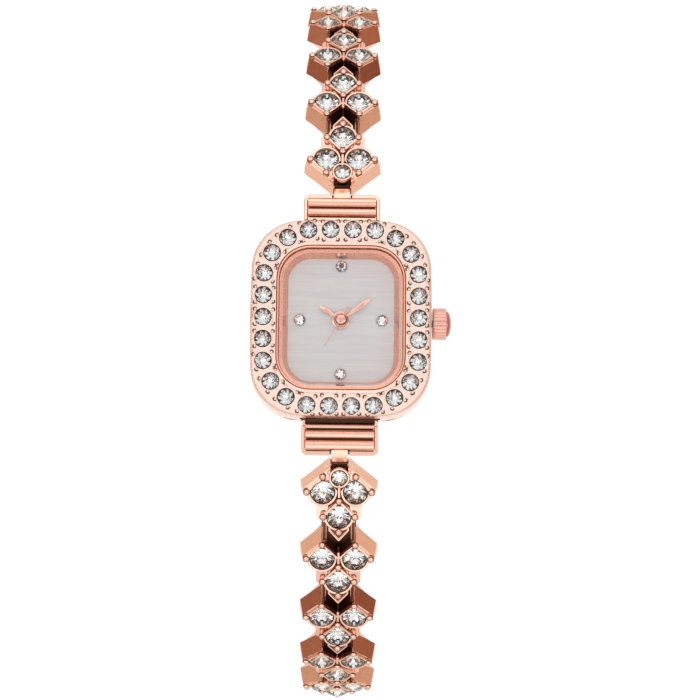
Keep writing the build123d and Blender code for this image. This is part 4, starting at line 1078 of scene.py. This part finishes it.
def make_ladder():
    """Ladder of bars that the clasp's hook catches."""
    bm = bmesh.new()
    add_clasp_arms(bm, ladder_length)
    pitch, half = (ladder_length - ladder_start) / ladder_bars, clasp_arm_inner + 0.1
    for n in range(ladder_bars):
        rounded_rod(bm, ladder_bar_radius, -half, half, ladder_start + n * pitch, 0, pin_sides)
    middle_bar(bm, clasp_arm_outer, ladder_length - clasp_floor, ladder_length, -clasp_floor, clasp_floor)
    matrix = tilted_frame("clasp_ladder", ladder_tilt, 1)
    soften(new_piece("clasp_ladder_bars", bm, matrix, "clasp_ladder", "rose_gold", "clasp_ladder"), 0.12, 3)


def make_clasp_base():
    """Base of the clasp: a plate with pressed ribs, the hook and the knuckle of the cover's hinge."""
    bm = bmesh.new()
    add_clasp_arms(bm, clasp_start + clasp_floor)
    plate = [(clasp_half, clasp_start), (clasp_half, clasp_end), (knuckle_half, clasp_end)]
    plate.append((knuckle_half, clasp_length))
    prism(bm, plate + mirrored(plate), -clasp_floor, 0)
    hinge = (clasp_length, knuckle_rise)
    rounded_rod(bm, knuckle_radius, -knuckle_half, knuckle_half, *hinge, knuckle_sides)
    rounded_rod(bm, knuckle_pin, -clasp_half, clasp_half, *hinge, pin_sides)
    hook = [(7.0, hook_foot), (7.0, 0.45), (7.1, hook_top), (8.5, hook_top), (8.6, 0.4), (8.6, 0.25)]
    swept(bm, hook + [(7.8, 0.25), (7.8, hook_foot)], -hook_half, hook_half)
    for y in base_ribs:
        middle_bar(bm, base_rib_half, y, y + base_rib_width, -0.1, 0.12)
    matrix = tilted_frame("clasp_base", clasp_tilt, -1)
    base = new_piece("clasp_base_plate", bm, matrix, "clasp_base", "rose_gold", "clasp_base")
    soften(base, clasp_edge, 3)


def make_clasp_cover():
    """Fold-over cover: a crowned plate with skirts and two knuckles."""
    inner, flat, top = cover_half - cover_wall, cover_half - 0.3, cover_rise + cover_thick
    section = [(-cover_half, cover_skirt), (-cover_half, cover_rise + 0.2)]
    section += [(flat * n / 6, top - cover_crown * (n / 6) ** 2) for n in range(-6, 7)]
    section += [(cover_half, cover_rise + 0.2), (cover_half, cover_skirt), (inner, cover_skirt)]
    section += [(inner, cover_rise), (-inner, cover_rise), (-inner, cover_skirt)]
    run, steps = clasp_end - cover_start, 10
    bm = bmesh.new()
    rings = [[(x, cover_start + run * n / steps, z) for x, z in section] for n in range(steps + 1)]
    ring_shell(bm, rings, capped=True)
    near, far = knuckle_half + 0.1, clasp_half
    for x0, x1 in ((near, far), (-far, -near)):
        rounded_rod(bm, knuckle_radius, x0, x1, clasp_length, knuckle_rise, knuckle_sides)
    side_bars(bm, near, far, clasp_end - 0.5, clasp_length, cover_rise, knuckle_rise + knuckle_radius)
    for step in cover_ribs:
        y = cover_start + step
        middle_bar(bm, cover_rib_half, y, y + cover_rib_width, top - 0.1, top + 0.06)
    matrix = tilted_frame("clasp_base", clasp_tilt, -1)
    cover = new_piece("clasp_cover_plate", bm, matrix, "clasp_cover", "rose_gold", "clasp_cover")
    soften(cover, clasp_edge, 3)


def dress_nodes():
    """Every solid that stays gets the material of its slot; the bezel gets a paler one as a painted highlight, and
    the spring bars a dark one as painted shade.
    """
    slots = {part["node"]: part["material_slot"] for part in frame["record"]["subparts"]}
    painted_light_materials = {"bezel": "bezel_gold_painted_highlight", "spring_bars": "shadow_brown"}
    for name, node in nodes.items():
        node.data.materials.clear()
        node.data.materials.append(materials[painted_light_materials.get(name, slots[name])])


make_camera()
make_world()
make_lamp("overhead", (0.05, 0.2, 0.75), (0.9, 0.8), 3.5, False)
make_lamp("left", (-0.5, -0.1, 0.6), (0.4, 0.4), 0.7, True)
make_lamp("right", (0.5, -0.2, 0.6), (0.3, 0.4), 0.5, True)
make_floor()
make_cards()
make_materials()
dress_nodes()
make_case_stones()
make_bezel_beads()
make_bezel_lip()
make_hands()
make_crown()
for word, side, last in (("upper", 1, "clasp_ladder"), ("lower", -1, "clasp_base")):
    make_bracelet_side(word, side, last)
    make_end_link(f"{word}_end_piece", f"{word}_end_link", f"{word}_connector", side)
    make_connector(f"{word}_strap", f"{word}_connector", f"{word}_link_1", side)
make_ladder()
make_clasp_base()
make_clasp_cover()
